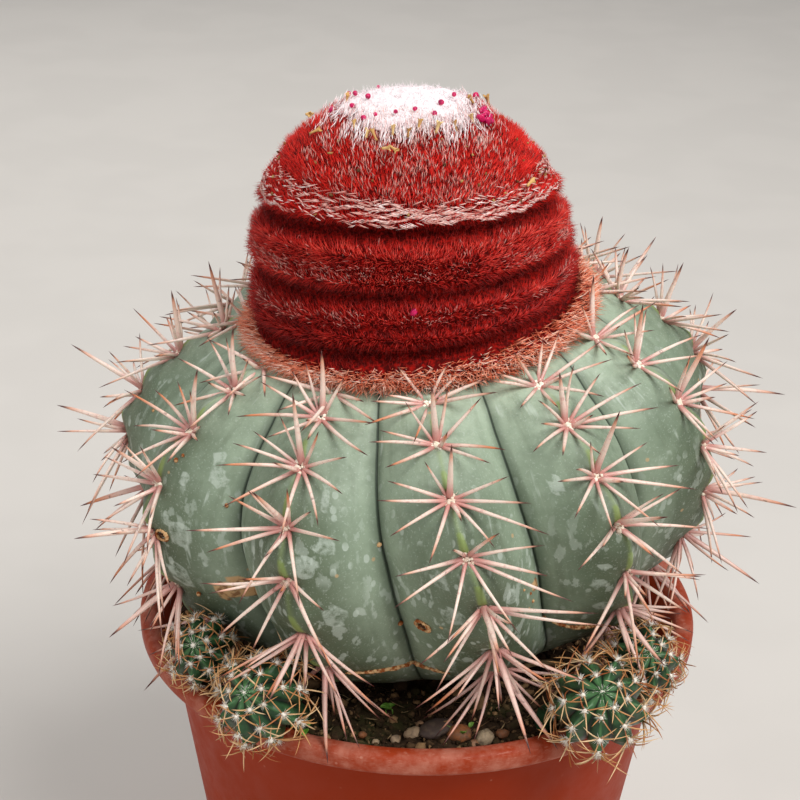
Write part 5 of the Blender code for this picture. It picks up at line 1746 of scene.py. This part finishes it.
def crown_streaks(rng):
    """Locks of hair that run down from the wool, mostly in front."""
    height, azimuth = over_cap(STREAK_COUNT, STREAK_BAND, rng)
    below = wool_edge(azimuth) - height
    lock = ripple(azimuth, 13) + ripple(azimuth, 31, 50)
    front = 0.1 + 0.9 * smooth(0.3, 0.95, np.cos(np.radians(azimuth + 4)))
    chance = front * smooth(2.9, -0.3, below + 0.9 * lock) * (below > -1.2)
    place, outward, upward, _ = on_cephalium(*thinned(height, azimuth, chance, rng))
    count = len(place)
    aim = upward * 0.75 + outward * 0.35 + rng.normal(size=place.shape) * 0.2
    long, thick = rng.uniform(*STREAK_LENGTHS, count), rng.uniform(*STREAK_RADII, count)
    return strands(place, aim, long, thick, outward * 0.1, 3, STREAK_PROFILE, rng,
                   tint=rng.uniform(0.2, 1.0, count))


def fruit_tips(rng):
    """Tips of the fruits, and shreds of spent ones."""
    azimuth, height = np.array(FRUITS).T
    place = on_cephalium(height, azimuth, 0.75)[0]
    berries = lumps(place, rng.uniform(*FRUIT_SIZES, len(place)), 3, 3, 0.08)
    azimuth, height = np.array(FRUIT_SHREDS).T
    place = on_cephalium(height, azimuth, 0.7)[0]
    shreds = lumps(place, rng.uniform(*SHRED_SIZES, len(place)), 4, 2, 0.35, (1.3, 0.9, 0.6))
    return merged([berries, shreds])


def dried_flowers(rng):
    """Dried flowers that stand in the wool's edge, and fallen ones that lie on the bristles."""
    shapes = []
    for number, (azimuth, height) in enumerate(DRIED_FLOWERS + FALLEN_FLOWERS):
        place, outward, upward, sideways = on_cephalium(np.array(height), np.array(azimuth), 0.0)
        if number >= len(DRIED_FLOWERS):
            lift, axis = 1.1, sideways * rng.uniform(0.5, 1.0) + upward * rng.normal()
        else:
            lift, axis = -0.1, outward * 0.75 + upward * 0.75 + rng.normal(size=3) * 0.2
        shapes.append(dried_flower(place + outward * lift, unit(axis), rng))
    return merged(shapes)


def dried_flower(place, axis, rng):
    """Withered tube with a crumpled, flared mouth."""
    a = unit(np.cross(axis, (0.3, 0.2, 1.0)))
    b = np.cross(axis, a)
    ring = np.radians(circle(10))
    round_axis = np.cos(ring)[:, None] * a + np.sin(ring)[:, None] * b
    tall, phase, bow = rng.uniform(*FLOWER_LENGTHS), rng.uniform(0, 6), a * rng.normal() * 0.5
    rings = []
    for t, radius in FLOWER_PROFILE:
        crumple = np.sin(3 * ring + phase)
        wobble = 0.85 * radius * (1 + 0.3 * t * crumple + 0.15 * np.sin(2 * ring))[:, None]
        rings.append(place + axis * tall * t + bow * t * t + round_axis * wobble
                     + axis * 0.2 * t * crumple[:, None])
    return grid(np.stack(rings), tint=rng.uniform(0.1, 1.0), along=0.7)


class MELOCACTUS_OT_crown(Operator):
    """Top the cap with white wool, fruit tips and dried flowers"""
    bl_idname = "melocactus.crown"
    bl_label = "Crown"

    def execute(self, context):
        look = context.scene.melocactus_cephalium
        rng = np.random.default_rng(CROWN_SEED)
        # Wool of the crown: fresh, fine and matted, almost white and without gloss.
        wool = plant_fibre("crown_wool", (srgb("e6b8b4"), look.wool_colour, srgb("f1e5e6")), 0.9, 0.15, 0.3,
                           0.3)
        add_piece("crown_wool_tuft", merged([crown_dome(), crown_fluff(rng)]), wool, "wool", "crown_wool")
        # The fringe: longer hairs, painted whiter than the crown's wool as light on hairs that hang in shade,
        # with some pink.
        fringe = plant_fibre("fringe_wool_painted_light", (srgb("f4b6ae"), srgb("ffecec"), srgb("ffffff")), 0.8, 0.2, 0.0,
                             0.1)
        add_piece("crown_streaks", crown_streaks(rng), fringe, "wool")
        add_piece("fruit_tips", fruit_tips(rng), berry_skin(look), "wool")
        # Spent flowers: papery, shrivelled and dull, straw to brown.
        dry = plant_fibre("dried_flower", (srgb("8c5a2a"), look.flower_colour, srgb("e6c98e")), 0.6, 0.3)
        add_piece("dried_flowers", dried_flowers(rng), dry, "wool")
        return {'FINISHED'}


def offset_skin(radius, across, latitude):
    """Points of an offset's skin in its own frame, and how far they lie off the crest."""
    off = 1 - np.abs(2 * (across % 1) - 1)
    u = np.radians(latitude)
    hump = np.cos(np.radians((latitude - 4) * 12.8))
    scale = 1 - OFFSET_RIB_DEPTH * off ** 1.15 * np.cos(u) + 0.06 * (1 - off) ** 2 * hump
    reach = radius * scale
    return polar(reach * np.cos(u), 360 * across / OFFSET_RIBS, reach * OFFSET_FLATTENING * np.sin(u)), off


def offset_globe(centre, radius, turn):
    """Ribbed skin of one offset."""
    latitude = np.linspace(86, -86, 44)[:, None]
    points, off = offset_skin(radius, np.arange(OFFSET_RIBS * 12)[None] / 12, latitude)
    return grid(centre + points @ turn.T, off=off, top=np.clip(latitude / 86, 0, 1))


def offset_stem(centre):
    """Stem from an offset's middle down into the soil."""
    bearing, reach = math.degrees(math.atan2(centre[0], -centre[1])), math.hypot(centre[0], centre[1])
    route = [centre] + [polar(min(radius, reach - 1.5), bearing, z) for radius, z in STEM_ROUTE]
    return tube(route, STEM_RADIUS, 14, off=0.6)


def offset_areoles(centre, radius, turn, thick, rng, tufts, spines):
    """Add one offset's areoles and the spines that have room."""
    for rib in range(OFFSET_RIBS):
        for latitude, fluff, count, length in OFFSET_AREOLES:
            crest, _ = offset_skin(radius, np.array(float(rib)), np.array(latitude + 7.0 * (rib % 2)))
            away = crest @ turn.T
            root, outward = centre + away, unit(away)
            if not has_room(root[None]):
                continue
            up = unit(turn[:, 2] - outward * outward.dot(turn[:, 2]))
            side = np.cross(up, outward)
            tufts.append((root, outward, fluff))
            for i in range(count):
                a = 2 * math.pi * (i + rng.uniform(0.2, 0.8)) / count
                flat = math.cos(a) * up + math.sin(a) * side
                aim = unit(flat + outward * rng.uniform(0.3, 0.95))
                long = rng.uniform(*OFFSET_SPINE_LENGTHS) * length * radius / OFFSET_USUAL_RADIUS
                bend = -outward * rng.uniform(0.15, 0.4) + rng.normal(size=3) * 0.08
                t = np.linspace(0.3, 1.0, 7)[:, None]
                line = root + (aim * t + bend * t * t) * long
                if has_room(line):
                    spines.append((root - outward * 0.3, aim, long, thick * rng.uniform(0.85, 1.15), bend,
                                   rng.uniform()))


def offset_wool(tufts, look, rng):
    """Fluffy tuft in each areole and on each top."""
    place, outward, size = (np.array(column) for column in zip(*tufts))
    knobs = lumps(place, 0.65 * size, 9, 2, 0.15, tint=0.6, along=0.8)
    place, outward, size = (np.repeat(values, TUFT_HAIRS, axis=0) for values in (place, outward, size))
    spread = rng.normal(size=place.shape)
    flat = spread - outward * np.sum(spread * outward, axis=1)[:, None]
    start = place + outward * 0.1 + flat * 0.4 * size[:, None]
    hairs = strands(start, outward + spread * 0.7, size * rng.uniform(0.8, 1.7, len(place)), WOOL_RADIUS,
                    rng=rng, tint=rng.uniform(0.2, 1.0, len(place)))
    # Young areole wool: clean, fluffy and dull, cream to white.
    wool = plant_fibre("young_areole_wool", (srgb("a8977c"), look.wool_colour, srgb("fffdf8")), 0.85, 0.2,
                       0.2, 0.3)
    add_piece("offset_wool", merged([knobs, hairs]), wool, "wool")


class MELOCACTUS_OT_offsets(Operator):
    """Grow the small green offsets at the pot's edge"""
    bl_idname = "melocactus.offsets"
    bl_label = "Offsets"

    def execute(self, context):
        look = context.scene.melocactus_offset
        rng = np.random.default_rng(OFFSET_SEED)
        skin = young_epidermis(look)
        spines, tufts = [], []
        for name, (centre, radius, tilt, azimuth) in OFFSETS.items():
            centre, turn = np.array(centre), turned(azimuth, tilt)
            shape = merged([offset_globe(centre, radius, turn), offset_stem(centre)])
            add_piece(f"{name}_globe", shape, skin, "offset_skin", name)
            axis = turn[:, 2]
            tufts.append((centre + axis * radius * OFFSET_FLATTENING * 0.93, axis, 1.1))
            offset_areoles(centre, radius, turn, look.spine_radius / MM, rng, tufts, spines)
        root, aim, long, thick, bend, tint = (np.array(column) for column in zip(*spines))
        needles = strands(root, aim, long, thick, bend, OFFSET_SPINE_SIDES, OFFSET_SPINE_PROFILE, rng,
                          tint=tint)
        # Young spines: thin amber horn with a silky gloss.
        horn = plant_fibre("young_spine", (srgb("9c5226"), look.spine_colour, srgb("e3c296")), 0.4, 0.4, 0.0,
                           0.35)
        add_piece("offset_spines", needles, horn, "offset_skin")
        offset_wool(tufts, look, rng)
        return {'FINISHED'}


OPERATORS = (
    MELOCACTUS_OT_stage, MELOCACTUS_OT_pot, MELOCACTUS_OT_soil, MELOCACTUS_OT_body, MELOCACTUS_OT_spines,
    MELOCACTUS_OT_cephalium, MELOCACTUS_OT_crown, MELOCACTUS_OT_offsets,
)


class MELOCACTUS_PT_sidebar(Panel):
    """The pieces of the potted cactus"""
    bl_label = "Melocactus"
    bl_idname = "MELOCACTUS_PT_sidebar"
    bl_space_type = 'VIEW_3D'
    bl_region_type = 'UI'
    bl_category = "Melocactus"

    def draw(self, context):
        for operator in OPERATORS:
            self.layout.operator(operator.bl_idname)


SETTINGS = {
    "melocactus_pot": PotSettings,
    "melocactus_body": BodySettings,
    "melocactus_cephalium": CephaliumSettings,
    "melocactus_offset": OffsetSettings,
    "melocactus_stage": StageSettings,
}


def register():
    for item in (*SETTINGS.values(), *OPERATORS, MELOCACTUS_PT_sidebar):
        bpy.utils.register_class(item)
    for name, group in SETTINGS.items():
        setattr(bpy.types.Scene, name, PointerProperty(type=group))


def unregister():
    for name in SETTINGS:
        delattr(bpy.types.Scene, name)
    for item in (MELOCACTUS_PT_sidebar, *reversed(OPERATORS), *SETTINGS.values()):
        bpy.utils.unregister_class(item)


def main():
    """Grow the whole plant."""
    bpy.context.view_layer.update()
    register()
    for operator in OPERATORS:
        getattr(bpy.ops.melocactus, operator.bl_idname.split(".")[1])()


if __name__ == "__main__":
    main()
